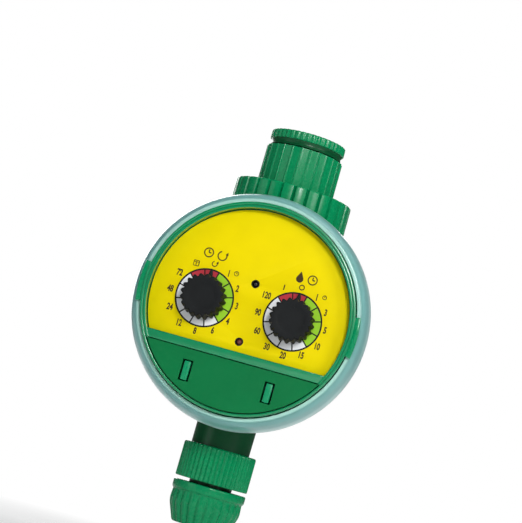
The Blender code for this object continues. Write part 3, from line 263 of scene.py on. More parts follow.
def finish_special():
    """Light through the frosted collar with painted highlight lines at its inner and outer edges and a
    painted darker band between them, tracks on the board and the copper band of the cells.
    """
    FROST.shader.inputs["Transmission Weight"].default_value = 0.25
    FROST.shader.inputs["IOR"].default_value = 1.42
    split = FROST.nodes.new("ShaderNodeSeparateXYZ")
    flat = FROST.nodes.new("ShaderNodeCombineXYZ")
    FROST.links.new(FROST.place.outputs["Object"], split.inputs[0])
    FROST.links.new(split.outputs["X"], flat.inputs["X"])
    FROST.links.new(split.outputs["Z"], flat.inputs["Z"])
    reach = FROST.nodes.new("ShaderNodeVectorMath")
    reach.operation = "LENGTH"
    FROST.links.new(flat.outputs[0], reach.inputs[0])
    # The ramp across the collar paints bright highlight lines at its inner and outer edges and a darker band
    # of painted shade between them.
    depth = FROST.spread(reach.outputs["Value"], COLLAR_INNER * MM, COLLAR_OUTER * MM, 0, 1)
    painted_light_bands = FROST.ramp(depth, (
        (0.0, (0.60, 0.95, 0.85)), (0.20, (0.50, 0.85, 0.76)), (0.32, (0.14, 0.38, 0.35)),
        (0.45, (0.20, 0.48, 0.46)), (0.82, (0.26, 0.58, 0.56)), (0.94, (0.65, 0.95, 0.92))))
    FROST.repaint(0.85, painted_light_bands)
    tracks = BOARD.nodes.new("ShaderNodeTexBrick")
    tracks.inputs["Scale"].default_value = 260
    tracks.inputs["Mortar Size"].default_value = 0.035
    BOARD.links.new(BOARD.place.outputs["Object"], tracks.inputs["Vector"])
    BOARD.repaint(BOARD.maths("MULTIPLY", tracks.outputs["Fac"], 0.6), (0.10, 0.30, 0.10))
    axes = JACKET.nodes.new("ShaderNodeSeparateXYZ")
    JACKET.links.new(JACKET.place.outputs["Object"], axes.inputs[0])
    band = JACKET.maths("GREATER_THAN", axes.outputs["X"], COPPER_FROM)
    JACKET.repaint(band, (0.55, 0.26, 0.07))


# --- Shapes ----------------------------------------------------------------------------------------------
def even(count):
    """Equal steps round a full turn."""
    return [TURN * i / count for i in range(count)]


def fluted(count, fractions):
    """Angles that sample each of a number of flutes at the same fractions of its pitch."""
    return [TURN * (i + f) / count for i in range(count) for f in fractions]


def sector(start, end, steps):
    """Equal steps between two angles given in degrees."""
    return [math.radians(start + (end - start) * i / steps) for i in range(steps + 1)]


def rounded(points, steps=4):
    """A closed section with its corners rounded; points are (radius, height, weight, corner)."""
    section = []
    for i, point in enumerate(points):
        radius, height, weight, corner = (*point, 0, 0)[:4]
        here = Vector((radius, height))
        before = Vector(points[i - 1][:2]) - here
        after = Vector(points[(i + 1) % len(points)][:2]) - here
        reach = min(corner, 0.48 * before.length, 0.48 * after.length)
        if reach <= 0:
            section.append((radius, height, weight))
            continue
        start = here + before.normalized() * reach
        end = here + after.normalized() * reach
        for k in range(steps + 1):
            t = k / steps
            spot = (1 - t) ** 2 * start + 2 * t * (1 - t) * here + t * t * end
            section.append((spot.x, spot.y, weight))
    return section


def column(radius, high, low, weight, step):
    """Points down a wall, close enough together to carry a thread."""
    count = max(2, round(abs(high - low) / step))
    return [(radius, high + (low - high) * i / count, weight) for i in range(count + 1)]


def thread(depth):
    """A helical ridge of the common pitch."""
    def shape(angle, height):
        turn = (height / PITCH + angle / TURN) % 1
        return depth * abs(2 * turn - 1)
    return shape


def grooves(count, half_width, depth, power, crown):
    """Crowned ribs with a groove in the middle of each pitch; half_width is a fraction of the pitch."""
    def shape(angle, height):
        away = abs((angle * count / TURN) % 1 - 0.5)
        return depth * max(0.0, 1 - away / half_width) ** power + crown * (1 - 2 * away) ** 2
    return shape


def waves(count, depth, power):
    """Rounded teeth; a higher power makes the valleys between them narrower."""
    def shape(angle, height):
        return depth * (0.5 - 0.5 * math.cos(angle * count)) ** power
    return shape


def facets(count, radius, ridge, rise):
    """Flats between thin raised lines."""
    def shape(angle, height):
        away = abs((angle * count / TURN) % 1 - 0.5)
        flat = radius * (1 - math.cos(math.pi / count) / math.cos((0.5 - away) * TURN / count))
        return rise + flat - rise * max(0.0, 1 - away / ridge)
    return shape


def revolve(section, angles, outer=None, inner=None, solid=False, part=False):
    """Carry a section round the axis. A weight above 0 takes outer() off the radius, one below 0 inner()."""
    model = bmesh.new()
    rows = []
    for radius, height, weight in section:
        row = []
        for angle in angles:
            change = 0.0
            if weight > 0:
                change = weight * outer(angle, height)
            elif weight < 0:
                change = -weight * inner(angle, height)
            reach = radius - change
            row.append(model.verts.new((reach * math.cos(angle), reach * math.sin(angle), height)))
        rows.append(row)
    for j in range(len(rows) - 1 if solid else len(rows)):
        upper = rows[j]
        lower = rows[(j + 1) % len(rows)]
        for i in range(len(angles) - 1 if part else len(angles)):
            k = (i + 1) % len(angles)
            model.faces.new((upper[i], upper[k], lower[k], lower[i]))
    if part:
        model.faces.new([row[0] for row in rows])
        model.faces.new([row[-1] for row in rows])
    bmesh.ops.remove_doubles(model, verts=model.verts, dist=1e-5)
    bmesh.ops.recalc_face_normals(model, faces=model.faces)
    return model


def circle(radius, centre=(0, 0), steps=64):
    return [(centre[0] + radius * math.cos(a), centre[1] + radius * math.sin(a)) for a in even(steps)]


def arc(radius, start, end, steps):
    return [(radius * math.cos(a), radius * math.sin(a)) for a in sector(start, end, steps)]


def above(radius, chord):
    """The part of a disc above a level chord."""
    lean = math.degrees(math.asin(chord / radius))
    return arc(radius, lean, 180 - lean, 110)


def below(radius, chord):
    """The part of a disc below a level chord."""
    lean = math.degrees(math.asin(chord / radius))
    return arc(radius, 180 - lean, 360 + lean, 90)


def strip(radius, low, high):
    """The part of a disc between two level chords."""
    right = arc(radius, math.degrees(math.asin(low / radius)), math.degrees(math.asin(high / radius)), 10)
    return right + [(-x, y) for x, y in reversed(right)]


def block(low_x, high_x, low_y, high_y):
    return [(low_x, low_y), (high_x, low_y), (high_x, high_y), (low_x, high_y)]


def ring_part(inner, outer, middle, half, steps=10):
    """A piece of a flat ring, half degrees to each side of a middle angle."""
    return arc(outer, middle - half, middle + half, steps) + arc(inner, middle + half, middle - half, steps)


def read_back(data):
    """The evaluated mesh of a curve or text as a bmesh."""
    holder = bpy.data.objects.new("outline", data)
    bpy.context.scene.collection.objects.link(holder)
    bpy.context.view_layer.update()
    mesh = bpy.data.meshes.new_from_object(holder.evaluated_get(bpy.context.evaluated_depsgraph_get()))
    bpy.data.objects.remove(holder)
    model = bmesh.new()
    model.from_mesh(mesh)
    bpy.data.meshes.remove(mesh)
    bmesh.ops.remove_doubles(model, verts=model.verts, dist=1e-4)
    return model


def slab(outlines, low, high, edge=0.0, steps=2, shift=(0, 0)):
    """Flat outlines (the first solid, the rest holes) raised between two heights, with softened edges."""
    curve = bpy.data.curves.new("outline", "CURVE")
    curve.dimensions = "2D"
    curve.fill_mode = "BOTH"
    curve.extrude = (high - low) / 2
    for outline in outlines:
        spline = curve.splines.new("POLY")
        spline.points.add(len(outline) - 1)
        for point, (x, y) in zip(spline.points, outline):
            point.co = (x, y, 0, 1)
        spline.use_cyclic_u = True
    model = read_back(curve)
    bmesh.ops.dissolve_limit(model, angle_limit=math.radians(0.5), verts=model.verts, edges=model.edges)
    bmesh.ops.translate(model, verts=model.verts, vec=(*shift, (high + low) / 2))
    return soften(model, edge, steps)


def soften(model, width, steps=2):
    """Bevel the sharp edges of a closed shape."""
    bmesh.ops.recalc_face_normals(model, faces=model.faces)
    if width > 0:
        limit = math.radians(SOFTEN_ABOVE)
        sharp = [edge for edge in model.edges if edge.is_manifold and edge.calc_face_angle(0) > limit]
        bmesh.ops.bevel(model, geom=sharp, offset=width, segments=steps, profile=0.5, affect="EDGES",
                        clamp_overlap=True)
    return model


def brick(low, high, edge=0.0, steps=2):
    model = bmesh.new()
    bmesh.ops.create_cube(model, size=1)
    low = Vector(low)
    high = Vector(high)
    bmesh.ops.scale(model, verts=model.verts, vec=high - low)
    bmesh.ops.translate(model, verts=model.verts, vec=(low + high) / 2)
    return soften(model, edge, steps)


def pin(radius, low, high, centre=(0, 0), edge=0.0, steps=40):
    return slab([circle(radius, centre, steps)], low, high, edge)


def moved(model, matrix):
    bmesh.ops.transform(model, matrix=matrix, verts=model.verts)
    return model


def write(body, place):
    """Numbers in the plain built-in face, narrowed and centred on a place of the dial plate."""
    letters = bpy.data.curves.new("digits", "FONT")
    letters.body = body
    letters.size = DIGIT_SIZE
    letters.align_x = "CENTER"
    letters.align_y = "CENTER"
    letters.extrude = DIGIT_THICK / 2
    letters.offset = DIGIT_WEIGHT
    letters.resolution_u = 4
    model = read_back(letters)
    centre = Matrix.Translation((*place, PRINT_LOW + DIGIT_THICK / 2))
    return moved(model, centre @ Matrix.Diagonal((DIGIT_SQUEEZE, 1, 1, 1)))


def shown(name, body, finish, models, replaces=(), place=FACE, sharp=SHARP_ABOVE):
    """One mesh made of several closed shapes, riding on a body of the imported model."""
    whole = bmesh.new()
    for model in models:
        part = bpy.data.meshes.new("part")
        model.to_mesh(part)
        model.free()
        whole.from_mesh(part)
        bpy.data.meshes.remove(part)
    mesh = bpy.data.meshes.new(name)
    whole.to_mesh(mesh)
    whole.free()
    mesh.transform(place)
    mesh.materials.append(finish.material)
    mesh.shade_smooth()
    mesh.set_sharp_from_angle(angle=math.radians(sharp))
    obj = bpy.data.objects.new(name, mesh)
    bpy.context.scene.collection.objects.link(obj)
    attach(obj, body)
    if replaces:
        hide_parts(*replaces)
    return obj


def carve(obj, cuts, joins=(), place=FACE):
    """Cut shapes out of a piece and add others to it, then keep only the result."""
    helpers = []
    for operation, models in (("UNION", joins), ("DIFFERENCE", cuts)):
        for model in models:
            mesh = bpy.data.meshes.new("helper")
            model.to_mesh(mesh)
            model.free()
            mesh.transform(place)
            helper = bpy.data.objects.new("helper", mesh)
            bpy.context.scene.collection.objects.link(helper)
            helpers.append(helper)
            step = obj.modifiers.new("step", "BOOLEAN")
            step.operation = operation
            step.object = helper
            step.solver = "EXACT"
    bpy.context.view_layer.update()
    mesh = bpy.data.meshes.new_from_object(obj.evaluated_get(bpy.context.evaluated_depsgraph_get()))
    obj.modifiers.clear()
    obj.data = mesh
    mesh.name = obj.name
    for helper in helpers:
        bpy.data.objects.remove(helper)
    mesh.shade_smooth()
    mesh.set_sharp_from_angle(angle=math.radians(SHARP_ABOVE))


# --- Round case ------------------------------------------------------------------------------------------
def build_rear_case():
    """A turned shell with a roof under the inlet, screw bosses, a flat for the nut and the water bores."""
    section = rounded([
        (0, -17.6), (32, -17.6, 0, 3), (38.5, -12.6, 0, 4), (42.6, -5, 0, 4), (44.1, 3, 0, 4),
        (44.1, LIP_FRONT), (48.2, LIP_FRONT, 0, 0.35), (48.2, LIP_BACK, 0, 0.35), (46.5, LIP_BACK, 0, 0.15),
        (46.5, 2, 0, 5), (44.9, -7.6, 0, 6), (40.2, -16.3, 0, 6), (33, -20, 0, 2.5), (0, -20)], 6)
    case = shown("rear_case_shell", "case", CASE_GREEN, [revolve(section, even(144), solid=True)],
                 ["rear_case"])
    roof = brick((-19, 40.2, -8), (19, 43.6, 27.1))
    bosses = [pin(4.4, -14, 28.0, place, steps=24) for place in CASE_SCREWS]
    cuts = [brick((-30, 42.6, -30), (30, 60, LIP_BACK))]
    cuts += [pin(3.15, -40, 9.0, place, steps=32) for place in CASE_SCREWS]
    cuts += [pin(1.7, 0, 60, place, steps=20) for place in CASE_SCREWS]
    upright = Matrix.Rotation(math.radians(-90), 4, "X")
    cuts.append(moved(pin(11.2, 21, 85), upright))
    cuts.append(moved(pin(13.4, -66, -33), upright))
    carve(case, cuts, [roof] + bosses)


def build_clear_ring():
    """A frosted collar that flares towards the case."""
    section = rounded([
        (COLLAR_INNER, 43.7, 0, 0.3), (46.4, 43.7, 0, 1.2), (48.1, 41.6, 0, 1.6), (49.4, 36.6, 0, 3.2),
        (COLLAR_OUTER, 31.0, 0, 1.4), (49.9, 29.2, 0, 0.5), (49.2, 28.6, 0, 0.25), (47.3, 28.6, 0, 0.25),
        (47.5, 31.2, 0, 2), (46.8, 36.7, 0, 3), (45.7, 40.7, 0, 1), (COLLAR_INNER, 41.7, 0, 0.2)], 6)
    shown("frosted_collar", "case", FROST, [revolve(section, even(160))], ["clear_ring"])


def build_housing():
    """Bezel above the band, seam, collar, floor, band, lugs, screw posts and the wall over the drawer bay."""
    lean = 31.1
    bezel = revolve(rounded([
        (RIM_INNER, 46.4, 0, 0.5), (RIM_INNER, 40.0), (43.05, 40.0), (43.02, 45.4),
        (42.98, RIM_FRONT, 0, 0.35), (42.1, RIM_FRONT, 0, 0.3)], 5),
        sector(-lean, 180 + lean, 150), part=True)
    collar = revolve(rounded([
        (SEAM, 40.0), (SEAM + 0.08, 46.35, 0, 0.3), (43.5, RIM_FRONT, 0, 0.3),
        (RIM_OUTER, RIM_FRONT - 0.1, 0, 0.8), (RIM_OUTER, 31.8, 0, 0.3), (46.6, 31.8, 0, 0.2),
        (46.6, 30.2, 0, 0.2), (RIM_INNER, 30.2, 0, 0.2), (RIM_INNER, 43.1, 0, 0.15),
        (SEAM, 43.1)], 4), even(180))
    groove_floor = revolve([(SEAM - 0.3, 46.1, 0), (SEAM + 0.3, 46.1, 0), (SEAM + 0.3, 43.5, 0),
                            (SEAM - 0.3, 43.5, 0)], sector(-lean, 180 + lean, 120), part=True)
    holes = [list(reversed(circle(SHAFT_HOLE, (side * DIAL_X, 0)))) for side in (-1, 1)]
    holes += [list(reversed(circle(1.6, (0, height)))) for height in LAMP_HEIGHTS]
    floor = slab([above(43.0, BAND_LOW)] + holes, 38.7, 40.5)
    band = slab([strip(42.5, BAND_LOW, BAND_HIGH)], 39.9, BAND_FRONT, 0.32, 3)
    wall = brick((-36.6, BAND_LOW, 28.9), (36.6, BAND_LOW + 1.5, 39.2))
    lugs = [slab([ring_part(44.1, 46.5, middle, 10.7)], 44.0, 45.7, 0.22) for middle in (0, 180)]
    shown("dial_housing_lugs", "case", BAND_GREEN, lugs)
    posts = [pin(3.2, 28.6, 39.6, place, 0.2, 24) for place in CASE_SCREWS]
    shown("dial_housing", "case", RIM_GREEN, [bezel, collar, groove_floor, floor, band, wall] + posts,
          ["control_housing"])


def build_plate():
    """The yellow plate with its shaft and lamp holes, and a printed ring round each lamp hole."""
    holes = [list(reversed(circle(SHAFT_HOLE, (side * DIAL_X, 0)))) for side in (-1, 1)]
    holes += [list(reversed(circle(1.4, (0, height), 40))) for height in LAMP_HEIGHTS]
    shown("yellow_plate", "case", YELLOW, [slab([above(41.5, -17.9)] + holes, 40.8, PLATE_FRONT, 0.12)],
          ["dial_plate"])
    rims = [slab([circle(1.75, (0, height), 40), list(reversed(circle(1.38, (0, height), 40)))], 41.0,
                 PLATE_FRONT + 0.03) for height in LAMP_HEIGHTS]
    shown("lamp_hole_prints", "case", INK, rims)


def build_lamp(name, height, finish, node):
    dome = revolve([(0, 41.75, 0), (0.5, 41.68, 0), (0.95, 41.4, 0), (1.2, 40.95, 0), (1.25, 40.5, 0),
                    (1.25, 30.2, 0), (0, 30.2, 0)], even(32), solid=True)
    shown(name, "case", finish, [moved(dome, Matrix.Translation((0, height, 0)))], [node])


# --- Printing on the plate -------------------------------------------------------------------------------
def clockwise(degrees, radius, centre):
    """A place at an angle counted clockwise from the top of a dial."""
    angle = math.radians(90 - degrees)
    return (centre + radius * math.cos(angle), radius * math.sin(angle))


def print_dial(tag, side, numbers):
    """The ring, the twelve division lines, the coloured fields and the numbers of one dial."""
    centre = side * DIAL_X
    shift = (centre, 0)
    black = [slab([circle(12.3, steps=120), list(reversed(circle(11.62, steps=120)))], PRINT_LOW, CIRCLE_HIGH,
                  shift=shift)]
    for k in range(12):
        angle = 15 + 30 * k
        bar = block(-0.27, 0.27, FIELD_INNER, 11.8)
        turn = Matrix.Translation((centre, 0, 0)) @ Matrix.Rotation(math.radians(-angle), 4, "Z")
        black.append(moved(slab([bar], PRINT_LOW, TICK_HIGH), turn))
    shown(tag + "_ring_print", "case", INK, black)
    for name, finish, places in (("red", RED_INK, (330, 0)), ("lime", LIME_INK, (30, 60, 90, 120)),
                                 ("white", WHITE_INK, (150, 180, 210, 240, 270, 300))):
        fields = [slab([ring_part(FIELD_INNER, FIELD_OUTER, 90 - place, 14.9)], PRINT_LOW, FIELD_HIGH,
                       shift=shift) for place in places]
        shown("%s_%s_print" % (tag, name), "case", finish, fields)
    return [write(text, clockwise(place, radius, centre)) for place, text, radius in numbers]


def icon_ring(radius, width, place):
    return slab([circle(radius, place, 40), list(reversed(circle(radius - width, place, 40)))],
                PRINT_LOW, ICON_HIGH)


def icon_bar(first, second, width):
    """A straight stroke between two places."""
    a = Vector(first)
    b = Vector(second)
    run = b - a
    across = Vector((-run.y, run.x)).normalized() * width / 2
    outline = [tuple(a - across), tuple(b - across), tuple(b + across), tuple(a + across)]
    return slab([outline], PRINT_LOW, ICON_HIGH)


def icon_clock(x, y, radius, width):
    hands = [icon_bar((x, y), (x, y + 0.62 * radius), width), icon_bar((x, y), (x + 0.5 * radius, y), width)]
    return [icon_ring(radius, width, (x, y))] + hands


def icon_drop(x, y, radius):
    """A water drop: a round foot and a pointed top."""
    outline = arc(radius, 150, 390, 24)
    outline.append((0.16 * radius, 1.9 * radius))
    outline.append((0, 2.15 * radius))
    outline.append((-0.16 * radius, 1.9 * radius))
    outline = [(x + a, y + b) for a, b in outline]
    return slab([outline], PRINT_LOW, ICON_HIGH)


def icon_repeat(x, y, radius, width):
    """An open circle that ends in an arrow head."""
    band = [(x + a, y + b) for a, b in ring_part(radius - width, radius, 250, 140, 30)]
    tip = (x + radius * math.cos(math.radians(28)), y + radius * math.sin(math.radians(28)))
    head = [(tip[0] - 1.5 * width, tip[1] - 0.2 * width), (tip[0] + 1.1 * width, tip[1] - 0.9 * width),
            (tip[0] + 0.4 * width, tip[1] + 1.9 * width)]
    return [slab([band], PRINT_LOW, ICON_HIGH), slab([head], PRINT_LOW, ICON_HIGH)]


def icon_calendar(x, y, half):
    width = 0.3
    frame_lines = [((x - half, y - half), (x + half, y - half)), ((x + half, y - half), (x + half, y + half)),
                   ((x + half, y + half), (x - half, y + half)), ((x - half, y + half), (x - half, y - half)),
                   ((x - half, y + 0.45 * half), (x + half, y + 0.45 * half)),
                   ((x, y - half), (x, y + 0.45 * half))]
    return [icon_bar(a, b, width) for a, b in frame_lines]


def build_prints():
    """Each number has its place in degrees clockwise from the top and its distance from the dial's middle."""
    left = [(30, "1", 14.1), (60, "2", 14.1), (90, "3", 13.9), (120, "4", 13.9), (150, "6", 14.1),
            (180, "8", 14.3), (210, "12", 14.7), (240, "24", 14.8), (270, "48", 14.7), (300, "72", 14.8)]
    right = [(30, "1", 14.1), (60, "3", 14.1), (90, "5", 13.9), (120, "10", 14.4), (150, "15", 14.3),
             (180, "20", 14.4), (210, "30", 14.7), (240, "60", 14.9), (270, "90", 14.7), (300, "120", 15.3)]
    marks = print_dial("frequency", -1, left) + print_dial("water_time", 1, right)
    reset = clockwise(1, 14.6, -DIAL_X)
    week = clockwise(331, 14.9, -DIAL_X)
    marks += icon_repeat(*reset, 1.25, 0.42)
    marks += icon_calendar(*week, 1.1)
    on = clockwise(331, 14.6, DIAL_X)
    off = clockwise(0, 14.6, DIAL_X)
    marks.append(icon_bar((on[0], on[1] - 1.15), (on[0], on[1] + 1.15), 0.5))
    marks.append(icon_ring(1.2, 0.42, off))
    hour = clockwise(35, 15.9, -DIAL_X)
    minute = clockwise(35, 15.9, DIAL_X)
    marks += icon_clock(hour[0] + 1.0, hour[1], 1.05, 0.3)
    marks += [icon_ring(0.95, 0.3, (minute[0] + 1.0, minute[1])),
              icon_bar((minute[0] + 1.0, minute[1]), (minute[0] + 1.0, minute[1] + 0.85), 0.3)]
    marks += icon_clock(-22.2, TITLE_Y, 2.1, 0.5) + icon_repeat(-16.4, TITLE_Y, 2.1, 0.5)
    marks += [icon_drop(17.0, TITLE_Y - 0.8, 1.5)] + icon_clock(22.3, TITLE_Y, 2.1, 0.5)
    shown("number_prints", "case", NUMBER_INK, marks)


# --- Dials -----------------------------------------------------------------------------------------------
def build_knob(tag, side):
    """A fluted hollow knob with a pointer on its skirt and a raised line on its top."""
    teeth = waves(20, 1.05, 1.3)
    section = rounded([
        (0, 51.45), (5.0, 51.45, 0, 0.8), (6.8, 51.6, 0.2, 0.8), (8.95, 51.6, 1, 0.45), (9.3, 44.2, 1, 0.2),
        (9.4, 42.6, 1, 0.15), (3.3, 42.6, 0), (3.3, 49.6, 0), (0, 49.6, 0)], 5)
    start = math.pi / 2
    body = revolve(section, [a + start + TURN / 40 for a in fluted(20, [i / 10 for i in range(10)])],
                   outer=lambda angle, height: teeth(angle - start, height), solid=True)
    pointer = slab([[(1.3, 7.5), (0.36, 12.2), (-0.36, 12.2), (-1.3, 7.5)]], 42.6, 43.8, 0.12)
    ridge = slab([[(0.45, 5.0), (0.3, 8.3), (-0.3, 8.3), (-0.45, 5.0)]], 51.0, 51.55, 0.1)
    place = FACE @ Matrix.Translation((side * DIAL_X, 0, 0))
    shown(tag + "_dial_knob", tag + "_dial", KNOB_BLACK, [body, pointer, ridge], [tag + "_knob"],
          place=place, sharp=40)


# --- Battery drawer --------------------------------------------------------------------------------------
def build_drawer():
    """The front panel with two slots, the cell tray behind it, and a release tab in each slot."""
    slots = [list(reversed(block(x - 2.15, x + 2.15, -35.4, -26.6))) for x in (-TAB_X, TAB_X)]
    panel = slab([below(42.65, -22.15)] + slots, PANEL_BACK, PANEL_FRONT, 0.28, 3)
    shelf = brick((-24.9, -22.8, DRAWER_BACK), (24.9, -22.2, DRAWER_FRONT))
    cheeks = [brick((x, DRAWER_FLOOR, DRAWER_BACK), (x + 0.9, DRAWER_TOP, DRAWER_FRONT), 0.15)
              for x in (24.0, -24.9)]
    web = brick((-23.2, DRAWER_FLOOR, 30.25), (23.2, DRAWER_TOP, 30.95), 0.1)
    shown("drawer_front", "drawer", PANEL_SHADE_GREEN, [panel, shelf, web] + cheeks, ["battery_drawer"])
    for tag, side in (("left", -1), ("right", 1)):
        tab = brick((-1.35, -35.0, 43.6), (1.35, -27.1, 46.1), 0.3, 3)
        catch = brick((-1.08, -29.5, 42.8), (1.08, -27.6, 44.3), 0.15)
        place = FACE @ Matrix.Translation((side * TAB_X, 0, 0))
        shown(tag + "_tab_finger", tag + "_tab", TAB_GREEN, [tab, catch], [tag + "_release_tab"],
              place=place)


# --- Inlet fittings --------------------------------------------------------------------------------------
# The fractions place points along one rib or flat, closer together where its groove or raised line is.
def build_swivel_nut():
    """Wide ribs with narrow grooves outside, a hollow skirt, and a thread round the bore."""
    fractions = (0.0, 0.13, 0.26, 0.36, 0.40, 0.43, 0.465, 0.5, 0.535, 0.57, 0.60, 0.64, 0.74, 0.87)
    section = rounded([
        (NUT_RADIUS, NUT_TOP, 1, 1.5), (NUT_RADIUS, NUT_LOW, 1, 0.5), (22.8, NUT_LOW, 0, 0.2), (22.8, 54.9),
        (19.0, 54.9), (19.0, NUT_LOW, 0, 0.2), (11.3, NUT_LOW, 0, 0.3), (11.3, 44.9)], 5)
    section += column(17.15, 45.0, 57.6, -1, 0.3) + [(17.3, NUT_TOP, 0)]
    shown("swivel_nut_body", "swivel_nut", GREEN,
          [revolve(section, fluted(28, fractions), grooves(28, 0.11, 1.4, 0.55, 0.2), thread(0.55))],
          ["swivel_nut"], place=WATER)


def build_adapter():
    """Flats with raised lines outside, a threaded lower end and a plain bore."""
    fractions = (0.0, 0.12, 0.25, 0.36, 0.42, 0.46, 0.49, 0.51, 0.54, 0.58, 0.64, 0.75, 0.88)
    top = rounded([(16.95, ADAPTER_TOP, 1, 0.6), (ADAPTER_RADIUS, ADAPTER_LOW, 1, 0.25),
                   (16.3, ADAPTER_LOW)], 4)
    section = top + column(16.3, 58.3, 51.8, -1, 0.3)
    section += rounded([(15.6, 51.2, 0, 0.3), (10.2, 51.2, 0, 0.3)], 3) + [(10.2, 61.0, 0), (13.1, 61.5, 0)]
    section += [(13.1, 75.6, 0), (13.4, ADAPTER_TOP, 0)]
    shown("inlet_adapter_body", "inlet_adapter", GREEN,
          [revolve(section, fluted(26, fractions), facets(26, ADAPTER_RADIUS, 0.10, 0.28), thread(0.5))],
          ["inlet_adapter"], place=WATER)


def build_reducer():
    """A knurled collar with a thread below and inside, a step under the collar painted dark as shade, and the
    tap's washer.
    """
    fractions = (0.0, 0.14, 0.28, 0.36, 0.43, 0.5, 0.57, 0.64, 0.72, 0.86)
    section = rounded([(REDUCER_RADIUS, REDUCER_TOP, 1, 1.1), (REDUCER_RADIUS, REDUCER_LOW, 1, 0.5),
                       (14.8, REDUCER_LOW), (12.4, REDUCER_LOW)], 5)
    section += column(12.4, 78.0, 64.6, -1, 0.3) + [(11.6, 64.0, 0), (7.4, 64.0, 0), (7.4, 70.2, 0)]
    section += column(10.75, 70.2, 82.2, -1, 0.3) + [(11.0, REDUCER_TOP, 0)]
    shown("tap_reducer_body", "tap_reducer", GREEN,
          [revolve(section, fluted(42, fractions), waves(42, 0.42, 1.4), thread(0.55))],
          ["tap_reducer"], place=WATER)
    # Painted shade: the step is the reducer's own green, drawn dark for the shadow under the knurled collar.
    step = rounded([(16.0, 79.0, 0, 0.2), (15.5, 77.6, 0, 0.8), (16.0, 76.3, 0, 0.3), (13.0, 76.3, 0, 0.2),
                    (13.0, 79.0, 0, 0.2)], 3)
    shown("tap_reducer_shaded_step", "tap_reducer", DARK_GREEN_AND_PAINTED_SHADE, [revolve(step, even(96))],
          place=WATER)
    washer = rounded([(9.9, 72.5, 0, 0.35), (9.9, 70.5, 0, 0.35), (7.2, 70.5, 0, 0.35), (7.2, 72.5, 0, 0.35)])
    shown("tap_washer_ring", "tap_washer", RUBBER, [revolve(washer, even(72))], ["tap_washer"],
          place=WATER)


# --- Outlet fittings -------------------------------------------------------------------------------------
def build_valve_body():
    """A round body with a boss for the valve stem, ending in the threaded outlet neck."""
    section = rounded([(14.5, 24.0), (14.5, -15.0, 0, 0.4), (13.1, -16.5, 0, 0.4)], 3)
    section += column(13.1, -57.6, -66.0, -1, 0.28)
    section += [(12.5, -66.5, 0), (8.4, -66.5, 0), (8.4, -58.5, 0), (7.0, -57.5, 0), (7.0, -12.9, 0),
                (11.2, -12.9, 0), (11.2, 24.0, 0)]
    body = revolve(section, even(96), inner=thread(0.6))
    # Painted shade: the outlet neck is drawn in dark green for the shadow on it.
    obj = shown("valve_body_shell", "case", DARK_GREEN_AND_PAINTED_SHADE, [body], ["valve_body"], place=WATER)
    carve(obj, [pin(4.0, 5.0, 31.0, steps=36)], [pin(7.5, 12.5, 15.6, steps=48)])


def build_outlet():
    """The knurled outlet nut, the ribbed clamp nut and the barbed hose tail."""
    ribs = [i / 8 for i in range(8)]
    nut = rounded([(OUTLET_RADIUS, OUTLET_TOP, 1, 1.1), (OUTLET_RADIUS, OUTLET_LOW, 1, 0.6),
                   (9.8, OUTLET_LOW, 0, 0.2), (9.8, -71.2, 0, 0.2), (13.4, -71.2),
                   (13.4, OUTLET_TOP, 0, 0.4)], 5)
    shown("outlet_nut_body", "outlet_nut", GREEN,
          [revolve(nut, fluted(46, ribs), waves(46, 0.62, 1.6))], ["outlet_nut"], place=WATER)
    clamp = rounded([(OUTLET_RADIUS, CLAMP_TOP, 0, 0.7), (OUTLET_RADIUS, -77.6, 0, 0.5),
                     (15.2, -78.4, 0.4, 0.4), (15.6, -83.3, 1, 2.0), (12.4, -91.4, 1, 0.6),
                     (11.8, CLAMP_LOW, 0, 0.3), (8.8, CLAMP_LOW, 0, 0.4), (9.75, -89.0, 0, 0.6),
                     (9.75, CLAMP_TOP, 0, 0.3)], 5)
    shown("clamp_nut_body", "clamp_nut", GREEN,
          [revolve(clamp, fluted(24, [i / 10 for i in range(10)]), waves(24, 0.8, 2.2))], ["clamp_nut"],
          place=WATER)
    tail = [(13.0, -69.0, 0, 0.25), (13.0, -70.9, 0, 0.25), (9.4, -70.9, 0, 0.2), (9.4, -83.0, 0, 0.3),
            (6.2, -83.4, 0, 0.2)]
    for k in range(2):
        top = -84.0 - 4.4 * k
        tail += [(6.2, top), (7.0, top - 0.3, 0, 0.12), (6.2, top - 4.2)]
    tail += [(6.2, TAIL_END, 0, 0.3), (5.0, TAIL_END, 0, 0.2), (5.0, -74.0, 0, 0.5), (7.4, -69.0, 0, 0.3)]
    shown("hose_tail_body", "hose_tail", DARK_GREEN_AND_PAINTED_SHADE, [revolve(rounded(tail, 3), even(80))], ["hose_tail"],
          place=WATER)


# --- Fasteners -------------------------------------------------------------------------------------------
def build_screws():
    """Cross-head screws that hold the case from the back."""
    for number, place in enumerate(CASE_SCREWS, start=1):
        section = rounded([(0, 36.0), (1.3, 34.8, 0, 0.2), (1.4, 8.7), (2.8, 8.7, 0, 0.2), (2.7, 7.5, 0, 0.5),
                           (1.7, 6.75, 0, 0.5), (0, 6.6)], 4)
        name = "case_screw_%d" % number
        at = FACE @ Matrix.Translation((*place, 0))
        obj = shown(name + "_body", "case", STEEL, [revolve(section, even(40), solid=True)], [name],
                    place=at)
        cross = [brick((-1.5, -0.32, 5.0), (1.5, 0.32, 7.7)), brick((-0.32, -1.5, 4.9), (0.32, 1.5, 7.8))]
        carve(obj, cross, place=at)


